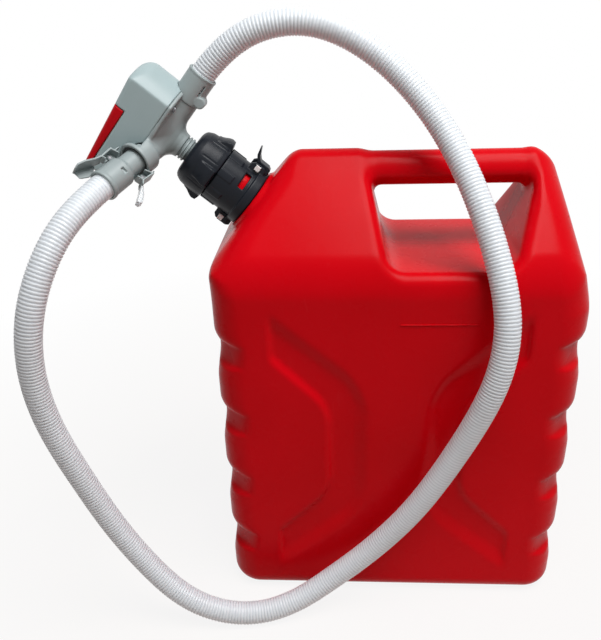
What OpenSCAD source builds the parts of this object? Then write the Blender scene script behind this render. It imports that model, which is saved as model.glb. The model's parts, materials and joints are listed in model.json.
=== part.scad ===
/* [Can] */
// Width of the can
can_w = 343; // [300:1:400]
// Depth of the can, front to back
can_d = 170; // [150:1:190]
// Height of the can over its ridge
can_h = 461.5; // [430:0.5:500]
// Wall thickness of the blow moulding
can_wall = 2.4; // [1.6:0.1:4]
// Radius of the long bottom edges
base_r = 20; // [8:1:26]
// Radius of the vertical corners
corner_r = 30; // [15:1:45]
// Lean of the roof-like top, from upright
roof_lean = 40; // [36:1:44]
// Radius of the ridge along the top
ridge_r = 16; // [12:1:20]
// Radius of the bend between the front and the roof
bend_r = 70; // [30:1:90]
// Radius of the roof's sloping edges
edge_r = 22; // [10:1:30]
// Height where the right side starts to lean in
lean_z = 332; // [310:1:345]
// How far the right side has leaned in at the top
lean_in = 33.5; // [20:0.5:45]
// Radius of the top right corner
shoulder_r = 24; // [12:1:30]
// Number of scallops down each side
notch_count = 4; // [1:1:4]
// Height of the lowest scallop's deepest line
notch_z = 72; // [60:1:80]
// Distance from one scallop to the next
notch_pitch = 75; // [60:1:76]
// Depth of a scallop at the side
notch_depth = 4.6; // [2:0.1:7]
// Depth of a scallop across the vertical corner
notch_corner = 7; // [3:0.1:9]

/* [Front panels] */
// Depth of the curved channels on the front and back
panel_depth = 4; // [2:0.5:6]
// Distance of the channels' straight side from the middle of the can
panel_x = 115; // [90:1:125]
// Nearest point of a channel to the middle of the can
panel_reach = 32; // [20:1:50]
// Nearest point of the raised field inside a channel
field_reach = 63; // [54:1:80]
// Radius of the channel's outer curve
panel_r = 168; // [140:1:200]
// Radius of the raised field's curve
field_r = 120; // [100:1:135]
// Height of the middle of the channels
panel_z = 190; // [180:1:200]

/* [Handle] */
// Left end of the hand hole's floor
hole_x0 = -9; // [-20:1:0]
// Right end of the hand hole's floor
hole_x1 = 98; // [80:1:105]
// Height of the hand hole's floor
hole_z = 369; // [365:1:380]
// Radius of the hand hole's lower corners
hole_r = 18; // [8:1:25]
// Diameter of the handle bar
bar_d = 34; // [28:1:34.5]

/* [Neck] */
// Distance of the neck's middle from the can's left side
neck_inset = 35; // [34:0.5:42]
// Distance of the neck's middle below the can's top
neck_drop = 45.5; // [43:0.5:50]
// Tilt of the neck above level
neck_tilt = 40; // [36:1:44]
// Height of the round boss under the neck
boss_h = 3; // [1:0.5:5]
// Diameter of the round boss
boss_d = 62; // [58:1:70]
// Outside diameter of the neck
neck_d = 45.6; // [42:0.1:48]
// Bore of the neck
neck_bore_d = 37; // [30:0.5:40]
// Length of the neck above the boss
neck_len = 22; // [18:0.5:26]

/* [Adapter] */
// Outside diameter of the collar
collar_d = 52; // [50:0.5:56]
// Diameter of the collar's foot flange
flange_d = 57; // [54:0.5:62]
// Height of the collar up to the nut
collar_h = 40; // [37:0.5:46]
// Diameter of the collar's spigot inside the nut
spigot_d = 41; // [38:0.5:44]
// Length of the spigot
spigot_len = 18; // [16:0.5:22]
// Thickness of the neck gasket
gasket_t = 2; // [1:0.1:3]
// Overall diameter of the nut
nut_d = 57; // [54:0.5:62]
// Height of the nut
nut_h = 29.6; // [27:0.1:34]
// Diameter over the nut's grip lobes
lobe_d = 66; // [62:0.5:72]
// Number of grip lobes
lobe_count = 4; // [2:1:8]
// Diameter of the lever pins
lever_pin_d = 3.9; // [3:0.1:4.5]
// Width of a lever
lever_w = 11.8; // [8:0.1:14]

/* [Pump head] */
// Depth of the head, front to back
head_d = 64; // [60:0.5:72]
// Thickness of the head above the parting plane, at the outlet end
head_h = 41.5; // [40:0.1:46]
// How much lower the head's top is at the holster end
head_fall = 8.9; // [4:0.1:10]
// Wall thickness of the housing
head_wall = 2.2; // [1.6:0.1:2.6]
// Reach of the head on the outlet side
head_x1 = 44.7; // [42:0.1:48]
// Reach of the head on the holster side
head_x0 = 63; // [60:0.5:68]
// How far the rounded outlet end bulges past its corners
end_bulge = 15.2; // [8:0.1:20]
// How far the holster end bulges past its corners
tail_bulge = 5; // [2:0.5:10]
// Radius of the head's outer corner on the outlet side
head_r = 6; // [2:1:12]
// Edge of the battery cover, from the neck's axis
cover_x = 2.6; // [2:0.1:4]
// Height of the battery cover's lower edge above the parting plane
cover_rise = 27.4; // [25:0.1:29]
// Diameter of the switch button
button_d = 12; // [8:0.5:13]
// Travel of the switch button
button_travel = 1.8; // [1:0.1:2.2]

/* [Pump] */
// Distance of the parting plane from the foot of the neck
parting_z = 106; // [104:0.5:112]
// Diameter of the suction stub
stub_d = 20; // [17:0.5:21]
// Bore of the suction stub
stub_bore_d = 14; // [8:0.5:14.5]
// Diameter of the pump chamber
chamber_d = 35; // [30:0.5:38]
// Depth of the pump chamber
chamber_h = 16; // [13:0.5:17]
// Diameter of the impeller
impeller_d = 31; // [20:0.5:32]
// Number of impeller vanes
vane_count = 6; // [3:1:9]
// Diameter of the motor
motor_d = 24; // [18:0.5:24]
// Length of the motor
motor_len = 11.6; // [9:0.1:11.8]
// Diameter of the motor shaft
shaft_d = 2; // [1.5:0.1:3]
// Diameter of a dry cell
cell_d = 14.2; // [13:0.1:14.3]
// Length of a dry cell without its button
cell_len = 49; // [44:0.5:49.5]

/* [Outlet, nozzle and hose] */
// Distance of the outlet's axis below the parting plane
outlet_drop = 6.4; // [5:0.1:8]
// Outside diameter of the outlet sleeve
sleeve_d = 26.4; // [25.4:0.1:28]
// Length of the outlet sleeve
sleeve_len = 27.3; // [24:0.1:32]
// Outside diameter of the hose over its ribs
hose_d = 22.8; // [18:0.1:23]
// Bore of the hose
hose_bore_d = 18; // [12:0.5:18.5]
// Depth of the grooves between the ribs
rib_depth = 1.2; // [0.5:0.1:1.5]
// Number of ribs along the hose
rib_count = 140; // [40:1:200]
// Outside diameter of the nozzle holster
holster_d = 32; // [31:0.1:33]
// Bore of the nozzle holster
holster_bore_d = 26.6; // [26:0.1:28]
// Outside diameter of the nozzle's tip
tip_d = 20.8; // [18:0.1:21]
// Outside diameter of the nozzle's collar
nozzle_d = 26.4; // [25.4:0.1:28]
// Length of the nozzle past the holster's mouth
nozzle_len = 41; // [39:0.5:48]
// Diameter of the latch pins
latch_pin_d = 3; // [2:0.1:3.4]

/* [Suction hose] */
// Outside diameter of the suction hose
suction_d = 20; // [17:0.5:21]
// Wall thickness of the suction hose
suction_wall = 2.4; // [1.5:0.1:3]
// Radius of the suction hose's bend
suction_bend_r = 110; // [95:1:120]
// Length of the strainer foot
foot_len = 27; // [20:1:40]
// Diameter of the strainer foot
foot_d = 26; // [24:0.5:32]

/* [Hidden] */
$fn = 64;
eps = 0.1;

// Clearances: fixed pieces, running pins, moving pieces
fit = 0.1;
pin_fit = 0.05;
gap = 0.3;

// Places worked out for the can
half_w = can_w / 2;
half_d = can_d / 2;
neck_x = neck_inset - half_w;
neck_z = can_h - neck_drop;
crest_r = 18;
hip_r = 24;
lean_r = 150;
apex_z = can_h + ridge_r * (1 / sin(roof_lean) - 1);
eave_z = apex_z - half_d / tan(roof_lean);
bar_r = bar_d / 2;
bar_root = 8;
bar_z = can_h - 1.5 - bar_r;
hole_flare_l = 14;
hole_flare_r = 21;
hole_flare_h = 60;
notch_up = 13;
notch_down = 34;
far = 900;

// Heights along the neck's axis, counted from the top of the boss
gasket_z = neck_len;
shoulder_z = neck_len + gasket_t;
nut_z = collar_h + gap + fit;
nut_top_z = nut_z + nut_h;
spigot_top_z = collar_h + spigot_len;
seal_seat_z = spigot_top_z - 7;
seal_top_z = spigot_top_z - 0.5;
stub_low_z = -34;
stub_spigot_z = -50;
socket_z = parting_z - 28;
stub_top_z = parting_z - 21.5;
chamber_z = parting_z - chamber_h;
outlet_z = parting_z - outlet_drop;
tray_t = 3.5;
tray_z = parting_z - tray_t;
head_top_z = parting_z + head_h;
cover_plate_t = 2;
motor_z = parting_z + cover_plate_t;
motor_top_z = motor_z + motor_len;
shelf_t = 2;
cover_z = parting_z + cover_rise;
cell_pitch = cell_d + 0.6;
cell_count = 3;
bulkhead_t = 2;
cell_first_x = cover_x - bulkhead_t - 2.5 - cell_d / 2 - (cell_count - 1) * cell_pitch;
cell_top_z = top_z(cell_first_x - cell_d / 2 - 1) - head_wall - 0.6;
cell_z = cell_top_z - cell_d / 2;
shelf_z = cell_top_z - cell_d - gap - shelf_t;
shelf_top_z = shelf_z + shelf_t;

// Radii and lesser sizes of the adapter
collar_r = collar_d / 2;
flange_h = 9;
collar_foot_z = gap + fit;
neck_room = 0.4;
stub_room = 0.6;
spigot_room = 0.6;
ear_y = lever_w / 2 + gap;
ear_t = 3.3;
ear_x = collar_r + 7;
pivot_x = collar_r + 3.5;
pivot_z = 13;
pin_head = 5;
pin_head_t = 2;
pin_half = ear_y + ear_t + pin_fit;
ridge_count = 8;
ridge_h = 0.8;

// Lesser sizes of the head
screw_places = [[-46, 24], [-46, -24], [28, 21], [28, -21]];
screw_d = 3;
screw_head_d = 5.6;
screw_head_h = 2.1;
screw_reach = 11;
boss_post_d = 7.2;
board_z = parting_z + 11;
board_t = 1.6;
button_x = 16.6;
button_flange = 1.5;
button_flange_t = 2.5;
button_proud = 1.7;
button_low_z = top_z(button_x - button_d / 2 - button_flange - 1) - head_wall - gap - button_flange_t;
contact_y = head_d / 2 - head_wall - 1.5;

// The rounded ends of the head are arcs through three points
end_r = (pow(head_d / 2, 2) + pow(end_bulge, 2)) / (2 * end_bulge);
end_cx = head_x1 - end_r;
tail_r = (pow(head_d / 2, 2) + pow(tail_bulge, 2)) / (2 * tail_bulge);
tail_cx = tail_r - head_x0;

// Outlet: the sleeve starts in a round recess in the head's rounded end
sleeve_x = head_x1 - 8;
hose_seat_x = sleeve_x + sleeve_len - 14;
arm_d = sleeve_d - 2;
passage_d = 2 * outlet_drop - 2.8;
hose_room = 0.3;
seat_room = 0.4;

// Holster: middle of its mouth, and the turn and rise of its axis
holster_at = [-26, -head_d / 2 - 6, parting_z - 2.7];
holster_turn = 56;
holster_rise = 9.5;
holster_depth = 13;
holster_floor = 3;
ring_len = 4;
tip_room = 0.4;
holster_arm = 42;
holster_arm_d = 25;
tip_reach = 12;
tip_len = 14;
hose_grip = 14;
latch_x = tip_d / 2 + 4.8;
latch_w = 8;
latch_cheek_t = 2.2;
latch_left_z = 15.4;
latch_right_z = 6;
latch_r = 2.2;
latch_hub = 3.5;
latch_floor_t = 1.4;
latch_near_y = 6.5;
latch_far_y = -7;
cheek_root = tip_d / 2 - 2.4;
left_cheek = [
  [-cheek_root, latch_left_z - 5], [2.2 - latch_x, latch_left_z - 4], [-latch_x - 1.4, latch_left_z - 2.4],
  [-latch_x - 1.4, latch_left_z + 2], [2.2 - latch_x, latch_left_z + 4], [-cheek_root, latch_left_z + 5]
];
right_cheek = [
  [cheek_root, latch_right_z - 5], [latch_x - 2.2, latch_right_z - 3], [latch_x + 1.2, latch_right_z - 1.8],
  [latch_x + 1.2, latch_right_z + 1.8], [latch_x - 2.2, latch_right_z + 3.5], [cheek_root, latch_right_z + 6]
];
left_plate = [
  [-3.6, -4.6], [-2.9, 8.4], [-4.5, 15.4], [-8, 23.6], [-9.4, 30.5], [-8.8, 33.6],
  [-10, 34.2], [-11, 30.5], [-9.6, 23.2], [-6.1, 15], [-4.5, 8.4], [-5.2, -4.6]
];
left_flange = [
  [-10.2, 31.5], [-9, 34.2], [-6.3, 35], [-3.6, 33], [0.8, 24], [-0.3, 18], [-3.3, 13], [-4.9, 14.6], [-8.4, 23.4]
];
left_floor = [[-3.6, -4.6], [3, -7.3], [2.6, -4], [1, 0.5], [0.4, 6.3], [-2.9, 7.7]];
left_wall_low = [[-3.6, -3.2], [-3.6, -4.6], [3, -7.3], [3.2, -6.1]];
left_wall_high = [[-3, 9], [-2.9, 7.7], [0.2, 6.3], [0.4, 7.4]];
left_finger = [[-3.4, -4.6], [-1.8, -5.2], [-1.7, -15.4], [-2.9, -15.4]];
right_plate = [[3.4, -7.3], [2.2, 5.8], [5, 9.2], [6.4, 8.2], [3.8, 5.4], [5, -7.3]];
right_floor = [[3.4, -6.8], [2.2, 5.1], [-2.8, 6.2], [-2.8, -3.5]];
right_wall_low = [[3.4, -5.5], [3.4, -6.8], [-2.8, -3.5], [-2.8, -2.2]];
right_wall_high = [[2.3, 6.4], [2.2, 5.1], [-2.8, 6.2], [-2.8, 7.4]];
right_finger = [[3.4, -6], [2, -6], [1.6, -13], [3, -13]];
right_tip = [[5, 9.2], [6.4, 8.2], [12.7, 14.5], [17, 21.5], [15.8, 24], [13, 24.2], [8, 14.5]];

// Height of the head's sloping top at x
function top_z(x) = head_top_z - head_fall * (head_x1 - x) / (head_x1 + head_x0);

// A point in the neck's frame, as a point of the part
function neck_point(p) = [
  neck_x + p[0] * sin(neck_tilt) - p[2] * cos(neck_tilt),
  p[1],
  neck_z + p[0] * cos(neck_tilt) + p[2] * sin(neck_tilt)
];

// A distance along the holster's axis from its mouth, in the neck's frame
function holster_point(d) = holster_at + d * [
  -cos(holster_turn) * cos(holster_rise),
  -sin(holster_turn) * cos(holster_rise),
  sin(holster_rise)
];

// Points of a convex corner b, rounded by radius r between its neighbours a and c
function unit(v) = v / norm(v);
function corner(a, b, c, r, steps) = r <= 0 ? [b] :
  let (
    u = unit(a - b),
    v = unit(c - b),
    half = acos(u * v) / 2,
    mid = b + unit(u + v) * r / sin(half),
    from = b + u * r / tan(half) - mid,
    to = b + v * r / tan(half) - mid,
    start = atan2(from[1], from[0]),
    turn = (atan2(to[1], to[0]) - start + 540) % 360 - 180
  )
  [for (k = [0:steps]) mid + r * [cos(start + turn * k / steps), sin(start + turn * k / steps)]];
function rounded(pts, radii, steps = 8) = [
  for (k = [0:len(pts) - 1])
    each corner(pts[(k + len(pts) - 1) % len(pts)], pts[k], pts[(k + 1) % len(pts)], radii[k], steps)
];

// A convex outline with every side moved in by d
function inset(pts, d) = [
  for (k = [0:len(pts) - 1])
    let (
      b = pts[k],
      u = unit(b - pts[(k + len(pts) - 1) % len(pts)]),
      v = unit(pts[(k + 1) % len(pts)] - b),
      m = [-u[1], u[0]],
      n = [-v[1], v[0]]
    )
    b + d * (m + n) / (1 + m * n)
];
function less(radii, i) = [for (r = radii) max(r - i, 0.5)];

// Front outline of the can: upright left, a slope for the neck, and a right side that leans in
slope_at = neck_point([0, 0, -boss_h]);
slope_top_x = slope_at[0] + (can_h - slope_at[2]) * tan(neck_tilt);
slope_low_z = slope_at[2] - (slope_at[0] + half_w) / tan(neck_tilt);
front_points = [
  [-half_w, 0], [half_w, 0], [half_w, lean_z], [half_w - lean_in, can_h], [slope_top_x, can_h], [-half_w, slope_low_z]
];
function front_outline(i) = rounded(
  inset(front_points, i), less([base_r, base_r, lean_r, shoulder_r, crest_r, hip_r], i)
);

// Side outline of the can: upright front and back under a roof with a round ridge
side_points = [[-half_d, 0], [half_d, 0], [half_d, eave_z], [0, apex_z], [-half_d, eave_z]];
function side_outline(i) = rounded(inset(side_points, i), less([base_r, base_r, bend_r, ridge_r, bend_r], i));

// Plan of the can
plan_points = [[-half_w, -half_d], [half_w, -half_d], [half_w, half_d], [-half_w, half_d]];
function plan_outline(i) = rounded(inset(plan_points, i), less([corner_r, corner_r, corner_r, corner_r], i));

// The hand hole, wider at the top than at its floor
hole_points = [
  [hole_x0, hole_z], [hole_x1, hole_z], [hole_x1 + hole_flare_r, hole_z + hole_flare_h],
  [hole_x1 + hole_flare_r, can_h + 40], [hole_x0 - hole_flare_l * 2, can_h + 40],
  [hole_x0 - hole_flare_l, hole_z + hole_flare_h]
];
function hole_outline(i) = rounded(inset(hole_points, -i), [hole_r + i, hole_r + i, 20 + i, 0, 0, 0]);

// The delivery hose: its middle line is a cubic B-spline through hand-set points
hose_start = [for (d = [0, 13, 26]) neck_point([hose_seat_x + d, 0, outlet_z])];
hose_free = [
  [-133, -2, 564], [-87, -3, 573], [-47, -4, 561], [-11, -9, 537], [18, -20, 508], [41, -37, 477],
  [58, -58, 445], [72, -79, 410], [83, -97, 374], [90, -112, 335], [85, -118, 292], [73, -116, 252],
  [58, -112, 213], [40, -110, 174], [20, -109, 137], [-4, -107, 102], [-32, -107, 70], [-64, -110, 42],
  [-98, -119, 19], [-139, -129, 9], [-182, -133, 17], [-218, -132, 40], [-245, -128, 73],
  [-266, -128, 110], [-282, -130, 149], [-294, -134, 190], [-305, -139, 230], [-312, -144, 272],
  [-313, -147, 313], [-306, -148, 357], [-294, -138, 395], [-277, -115, 429]
];
hose_end = [for (d = [26, 13, 0]) neck_point(holster_point(nozzle_len - hose_grip + d))];
hose_points = concat(hose_start, hose_free, hose_end);
hose_last = len(hose_points) - 1;
hose_control = concat(
  [2 * hose_points[0] - hose_points[1]], hose_points, [2 * hose_points[hose_last] - hose_points[hose_last - 1]]
);
function hose_at(t) =
  let (
    k = min(floor(t), hose_last - 1),
    f = t - k,
    a = hose_control[k],
    b = hose_control[k + 1],
    c = hose_control[k + 2],
    d = hose_control[k + 3]
  )
  (pow(1 - f, 3) * a + (3 * f * f * f - 6 * f * f + 4) * b
    + (3 * f * f - 3 * f * f * f + 3 * f + 1) * c + f * f * f * d) / 6;

// Even steps along the hose, from lengths measured on short chords
hose_fine = [for (k = [0:hose_last * 8]) hose_at(k / 8)];
hose_chords = [for (k = [1:len(hose_fine) - 1]) norm(hose_fine[k] - hose_fine[k - 1])];
hose_sums = [for (k = 0, s = 0; k <= len(hose_chords); s = s + (k < len(hose_chords) ? hose_chords[k] : 0), k = k + 1) s];
hose_len = hose_sums[len(hose_sums) - 1];
function hose_along(s) =
  let (
    q = lookup(s, [for (k = [0:len(hose_sums) - 1]) [hose_sums[k], k / 8]])
  )
  hose_at(q);

// Children stand on the top of the neck's boss, with z out along the neck
module on_neck() {
  translate([neck_x, 0, neck_z])
    rotate([0, neck_tilt - 90, 0])
      children();
}

// Children sit at the holster's mouth, with z out along the nozzle
module on_holster() {
  on_neck()
    translate(holster_at)
      rotate([0, 90 - holster_rise, 180 + holster_turn])
        children();
}

// Children lie along the outlet, with z out along the sleeve
module on_outlet() {
  on_neck()
    translate([0, 0, outlet_z])
      rotate([0, 90, 0])
        children();
}

// A profile in the front plane, extruded front to back and centred
module across(depth) {
  rotate([90, 0, 0])
    linear_extrude(depth, center = true)
      children();
}

module ring(r_out, r_in, z0, z1) {
  translate([0, 0, z0])
    difference() {
      cylinder(r = r_out, h = z1 - z0);
      translate([0, 0, -eps])
        cylinder(r = r_in, h = z1 - z0 + 2 * eps);
    }
}

// A flat cut on the edge between a side with outward normal n and the roof on face -1 or 1
module edge_cut(n, p, face, i) {
  m = [0, face * cos(roof_lean), sin(roof_lean)];
  b = unit(n + m);
  back = edge_r * (sqrt(2 / (1 + n * m)) - 1) + i;
  q = [p[0], face * (apex_z - p[2]) * tan(roof_lean), p[2]];
  translate(q - back * b)
    rotate([0, acos(b[2]), atan2(b[1], b[0])])
      translate([-far / 2, -far / 2, 0])
        cube([far, far, far]);
}

// One scallop's section: a quick fall, a short floor and a long rise, with x outwards
module notch_section(depth, i, floor_half) {
  polygon([
    [10, notch_up + i], [-i, notch_up + i], [-depth - i, floor_half - 1.5], [-depth - i, -floor_half - 1.5],
    [-i, -notch_down], [10, -notch_down]
  ]);
}

module panel_channel(i) {
  difference() {
    intersection() {
      translate([-panel_reach - panel_r, panel_z])
        circle(r = panel_r + i, $fn = 128);
      translate([-panel_x - i, 0])
        square([panel_x + i, can_h]);
    }
    translate([-field_reach - field_r, panel_z])
      circle(r = field_r - i, $fn = 128);
  }
}

// The can's outer form for i = 0, and the hollow inside it for i = the wall
module can_form(i) {
  lean = unit([can_h - lean_z, 0, lean_in]);
  corner_at = [half_w - corner_r, half_d - corner_r];
  difference() {
    intersection() {
      across(can_d)
        polygon(front_outline(i));
      linear_extrude(can_h + 10)
        polygon(plan_outline(i));
      rotate([90, 0, 90])
        linear_extrude(can_w + 2, center = true)
          polygon(side_outline(i));
    }
    for (face = [-1, 1]) {
      edge_cut([-cos(neck_tilt), 0, sin(neck_tilt)], slope_at, face, i);
      edge_cut(lean, [half_w - lean_in, 0, can_h], face, i);
    }
    for (side = [-1, 1], k = [0:notch_count - 1]) {
      translate([0, 0, notch_z + k * notch_pitch]) {
        translate([side * half_w, 0, 0])
          rotate([0, 0, side > 0 ? 0 : 180])
            across(can_d + 2)
              notch_section(notch_depth, i, 4.5);
        for (face = [-1, 1]) {
          translate([side * corner_at[0], face * corner_at[1], 0])
            rotate([0, 0, atan2(face, side)])
              translate([corner_r, 0, 0])
                across(120)
                  notch_section(notch_corner, i, 5.5);
        }
      }
    }
    for (side = [0, 1], face = [-1, 1]) {
      mirror([side, 0, 0])
        translate([0, face * (half_d - panel_depth - i + 10), 0])
          across(20)
            panel_channel(i);
    }
    across(can_d + 2)
      polygon(hole_outline(i));
  }
  translate([hole_x0 - hole_flare_l - bar_root, 0, bar_z])
    rotate([0, 90, 0])
      cylinder(r = bar_r - i, h = hole_x1 - hole_x0 + hole_flare_l + hole_flare_r + 2 * bar_root);
}

module can_body() {
  color("#d0101c")
    difference() {
      union() {
        can_form(0);
        on_neck() {
          translate([0, 0, -boss_h - 12])
            cylinder(d = boss_d, h = boss_h + 12);
          translate([0, 0, -boss_h - 1])
            cylinder(d = neck_d, h = boss_h + 1 + neck_len);
        }
      }
      can_form(can_wall);
      on_neck()
        translate([0, 0, -boss_h - 20])
          cylinder(d = neck_bore_d, h = neck_len + boss_h + 21);
    }
}

module neck_gasket() {
  color("#303030")
    on_neck()
      ring(neck_d / 2, neck_bore_d / 2, gasket_z, shoulder_z);
}

// Two cheeks on one side of the collar, which hold a lever's pin
module collar_ear() {
  for (side = [-1, 1]) {
    translate([0, side * (ear_y + ear_t / 2), 0])
      across(ear_t)
        polygon([
          [collar_r - 3, 5], [ear_x - 2, 5], [ear_x, 8], [ear_x, pivot_z + 4], [ear_x - 3, pivot_z + 7],
          [collar_r - 3, pivot_z + 7]
        ]);
  }
}

module adapter_collar() {
  color("#1d2024")
    on_neck()
      difference() {
        union() {
          translate([0, 0, collar_foot_z])
            cylinder(d = flange_d, h = flange_h);
          translate([0, 0, collar_foot_z])
            cylinder(r = collar_r, h = collar_h - collar_foot_z);
          cylinder(d = spigot_d, h = spigot_top_z);
          for (k = [0:ridge_count - 1]) {
            rotate([0, 0, 22.5 + k * 360 / ridge_count])
              translate([collar_r - 2, -4, pivot_z + 12])
                cube([2 + ridge_h, 8, collar_h - pivot_z - 12]);
          }
          collar_ear();
          rotate([0, 0, 180])
            collar_ear();
        }
        translate([0, 0, -eps])
          cylinder(d = neck_d + 2 * neck_room, h = shoulder_z + eps);
        cylinder(d = stub_d + 2 * stub_room, h = spigot_top_z + eps);
        translate([0, 0, seal_seat_z])
          cylinder(d = stub_d + 10, h = spigot_top_z);
        rotate([0, 0, -52])
          translate([neck_d / 2 - 2, -8, pivot_z])
            cube([10, 16, 5.5]);
        for (side = [0, 180]) {
          rotate([0, 0, side]) {
            translate([collar_r + 0.15, -ear_y, -eps])
              cube([10, 2 * ear_y, flange_h + 2]);
            translate([pivot_x, 0, pivot_z])
              rotate([90, 0, 0])
                cylinder(d = lever_pin_d + 2 * pin_fit, h = 4 * ear_y, center = true);
          }
        }
      }
}

// A lever in the front plane, lying along the collar, with an optional thumb fin
module cam_lever(fin) {
  across(lever_w)
    difference() {
      union() {
        translate([pivot_x, pivot_z])
          circle(r = 3.1);
        polygon([
          [collar_r + 0.8, 2], [collar_r + 7, 2], [collar_r + 9, 5], [collar_r + 9, pivot_z + 1.5],
          [collar_r + 6.6, pivot_z + 3.4], [pivot_x, pivot_z + 3], [collar_r + 0.8, pivot_z]
        ]);
        if (fin) {
          polygon([
            [collar_r + 8.4, pivot_z + 0.5], [collar_r + 13, pivot_z + 4.6], [collar_r + 19.6, pivot_z + 7.8],
            [collar_r + 19.2, pivot_z + 9], [collar_r + 12.5, pivot_z + 7.4], [collar_r + 6.6, pivot_z + 3.4]
          ]);
        }
      }
      translate([pivot_x, pivot_z])
        circle(d = lever_pin_d + 2 * pin_fit);
    }
}

module cam_lever_upper() {
  color("#1d2024")
    on_neck()
      cam_lever(true);
}

module cam_lever_lower() {
  color("#1d2024")
    on_neck()
      rotate([0, 0, 180])
        cam_lever(false);
}

module lever_pins() {
  color("#e8e6e2")
    on_neck()
      for (side = [0, 180]) {
        rotate([0, 0, side])
          translate([pivot_x, 0, pivot_z]) {
            rotate([90, 0, 0])
              cylinder(d = lever_pin_d, h = 2 * pin_half, center = true);
            for (end = [-1, 1]) {
              translate([0, end * (pin_half + pin_head_t / 2), 0])
                cube([pin_head, pin_head_t, pin_head], center = true);
            }
          }
      }
}

module gland_nut() {
  nut_r = nut_d / 2;
  hole_r = stub_d / 2 + stub_room;
  press_r = stub_d / 2 + 4.4;
  ceiling_z = spigot_top_z + 2.5;
  color("#1d2024")
    on_neck() {
      rotate_extrude()
        polygon([
          [spigot_d / 2 + spigot_room, nut_z], [nut_r - 0.6, nut_z], [nut_r, nut_z + 5],
          [nut_r - 1.1, nut_top_z - 8], [nut_r - 4, nut_top_z - 2.5], [nut_r - 9.5, nut_top_z],
          [hole_r, nut_top_z], [hole_r, seal_top_z + gap], [press_r, seal_top_z + gap],
          [press_r, ceiling_z], [spigot_d / 2 + spigot_room, ceiling_z]
        ]);
      for (k = [0:lobe_count - 1]) {
        rotate([0, 0, k * 360 / lobe_count])
          intersection() {
            rotate_extrude()
              polygon([
                [nut_r - 3, nut_z], [lobe_d / 2 - 1.5, nut_z], [lobe_d / 2, nut_z + 3], [nut_r, nut_z + 17],
                [nut_r - 3, nut_z + 17]
              ]);
            translate([0, -8, nut_z])
              cube([lobe_d, 16, nut_h]);
          }
      }
    }
}

module gland_seal() {
  color("#2a2a2a")
    on_neck()
      ring(stub_d / 2 + 4.9, stub_d / 2 + pin_fit, seal_seat_z, seal_top_z);
}

module suction_stub() {
  spigot_r = suction_d / 2 - suction_wall - fit;
  color("#8e9799")
    on_neck()
      difference() {
        union() {
          translate([0, 0, stub_low_z])
            cylinder(d = stub_d, h = stub_top_z - stub_low_z);
          translate([0, 0, stub_spigot_z])
            cylinder(r = spigot_r, h = stub_low_z - stub_spigot_z + 1);
          for (z = [nut_top_z + 2, nut_top_z + 5]) {
            translate([0, 0, z])
              cylinder(d = stub_d + 3.2, h = 1.6);
          }
        }
        translate([0, 0, stub_low_z + 2])
          cylinder(d = stub_bore_d, h = stub_top_z - stub_low_z);
        translate([0, 0, stub_spigot_z - eps])
          cylinder(r = spigot_r - 1.6, h = stub_low_z - stub_spigot_z + 4);
      }
}

module suction_section() {
  difference() {
    circle(d = suction_d);
    circle(d = suction_d - 2 * suction_wall);
  }
}

// Straight out of the stub, round one bend, and straight down to the strainer
suction_turn_z = -110;
suction_drop = neck_point([
  suction_bend_r * (cos(90 - neck_tilt) - 1), 0, suction_turn_z - suction_bend_r * sin(90 - neck_tilt)
]);
foot_z = can_wall + 0.4;
suction_low_z = foot_z + foot_len - 12;
module suction_hose() {
  color("#c9cdd0") {
    on_neck() {
      translate([0, 0, suction_turn_z])
        linear_extrude(stub_low_z - suction_turn_z)
          suction_section();
      translate([-suction_bend_r, 0, suction_turn_z])
        rotate([-90, 0, 0])
          rotate_extrude(angle = 90 - neck_tilt)
            translate([suction_bend_r, 0])
              suction_section();
    }
    translate([suction_drop[0], 0, suction_low_z])
      linear_extrude(suction_drop[2] - suction_low_z)
        suction_section();
    translate([suction_drop[0], 0, suction_drop[2]])
      ring(suction_d / 2 + 1, suction_d / 2 - suction_wall / 2, -4, 4);
  }
}

module strainer_foot() {
  slot_count = 6;
  color("#8e9799")
    translate([suction_drop[0], 0, foot_z])
      difference() {
        cylinder(d = foot_d, h = foot_len);
        translate([0, 0, 2])
          cylinder(d = suction_d - 2 * suction_wall, h = foot_len);
        translate([0, 0, foot_len - 12])
          cylinder(d = suction_d + 2 * fit, h = foot_len);
        for (k = [0:slot_count - 1]) {
          rotate([0, 0, k * 360 / slot_count])
            translate([2, -2, 3])
              cube([foot_d, 4, foot_len - 18]);
        }
      }
}

// Plan of the head, drawn in by i: straight sides and two rounded ends
module head_plan(i) {
  intersection() {
    translate([-2 * head_x0, i - head_d / 2])
      square([3 * head_x0, head_d - 2 * i]);
    translate([tail_cx, 0])
      circle(r = tail_r - i, $fn = 128);
    union() {
      translate([end_cx, 0])
        circle(r = end_r - i, $fn = 128);
      translate([-2 * head_x0, -head_d])
        square([2 * head_x0 + end_cx, 2 * head_d]);
    }
  }
}

// The head's outer form for i = 0, and the hollow inside it for i = the wall
module head_form(i, z0) {
  intersection() {
    translate([0, 0, z0])
      linear_extrude(head_top_z - i - z0)
        head_plan(i);
    across(2 * head_d)
      polygon(rounded(
        [
          [i - head_x0, z0 - 1], [head_x1 - i, z0 - 1], [head_x1 - i, head_top_z - i],
          [i - head_x0, top_z(-head_x0) - i]
        ],
        [0, 0, head_r - i, 5]
      ));
  }
}

// The room round the outlet sleeve, cut from the head and the base
module sleeve_recess() {
  on_outlet()
    translate([0, 0, sleeve_x])
      cylinder(r = sleeve_d / 2 + gap, h = 60);
}

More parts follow.
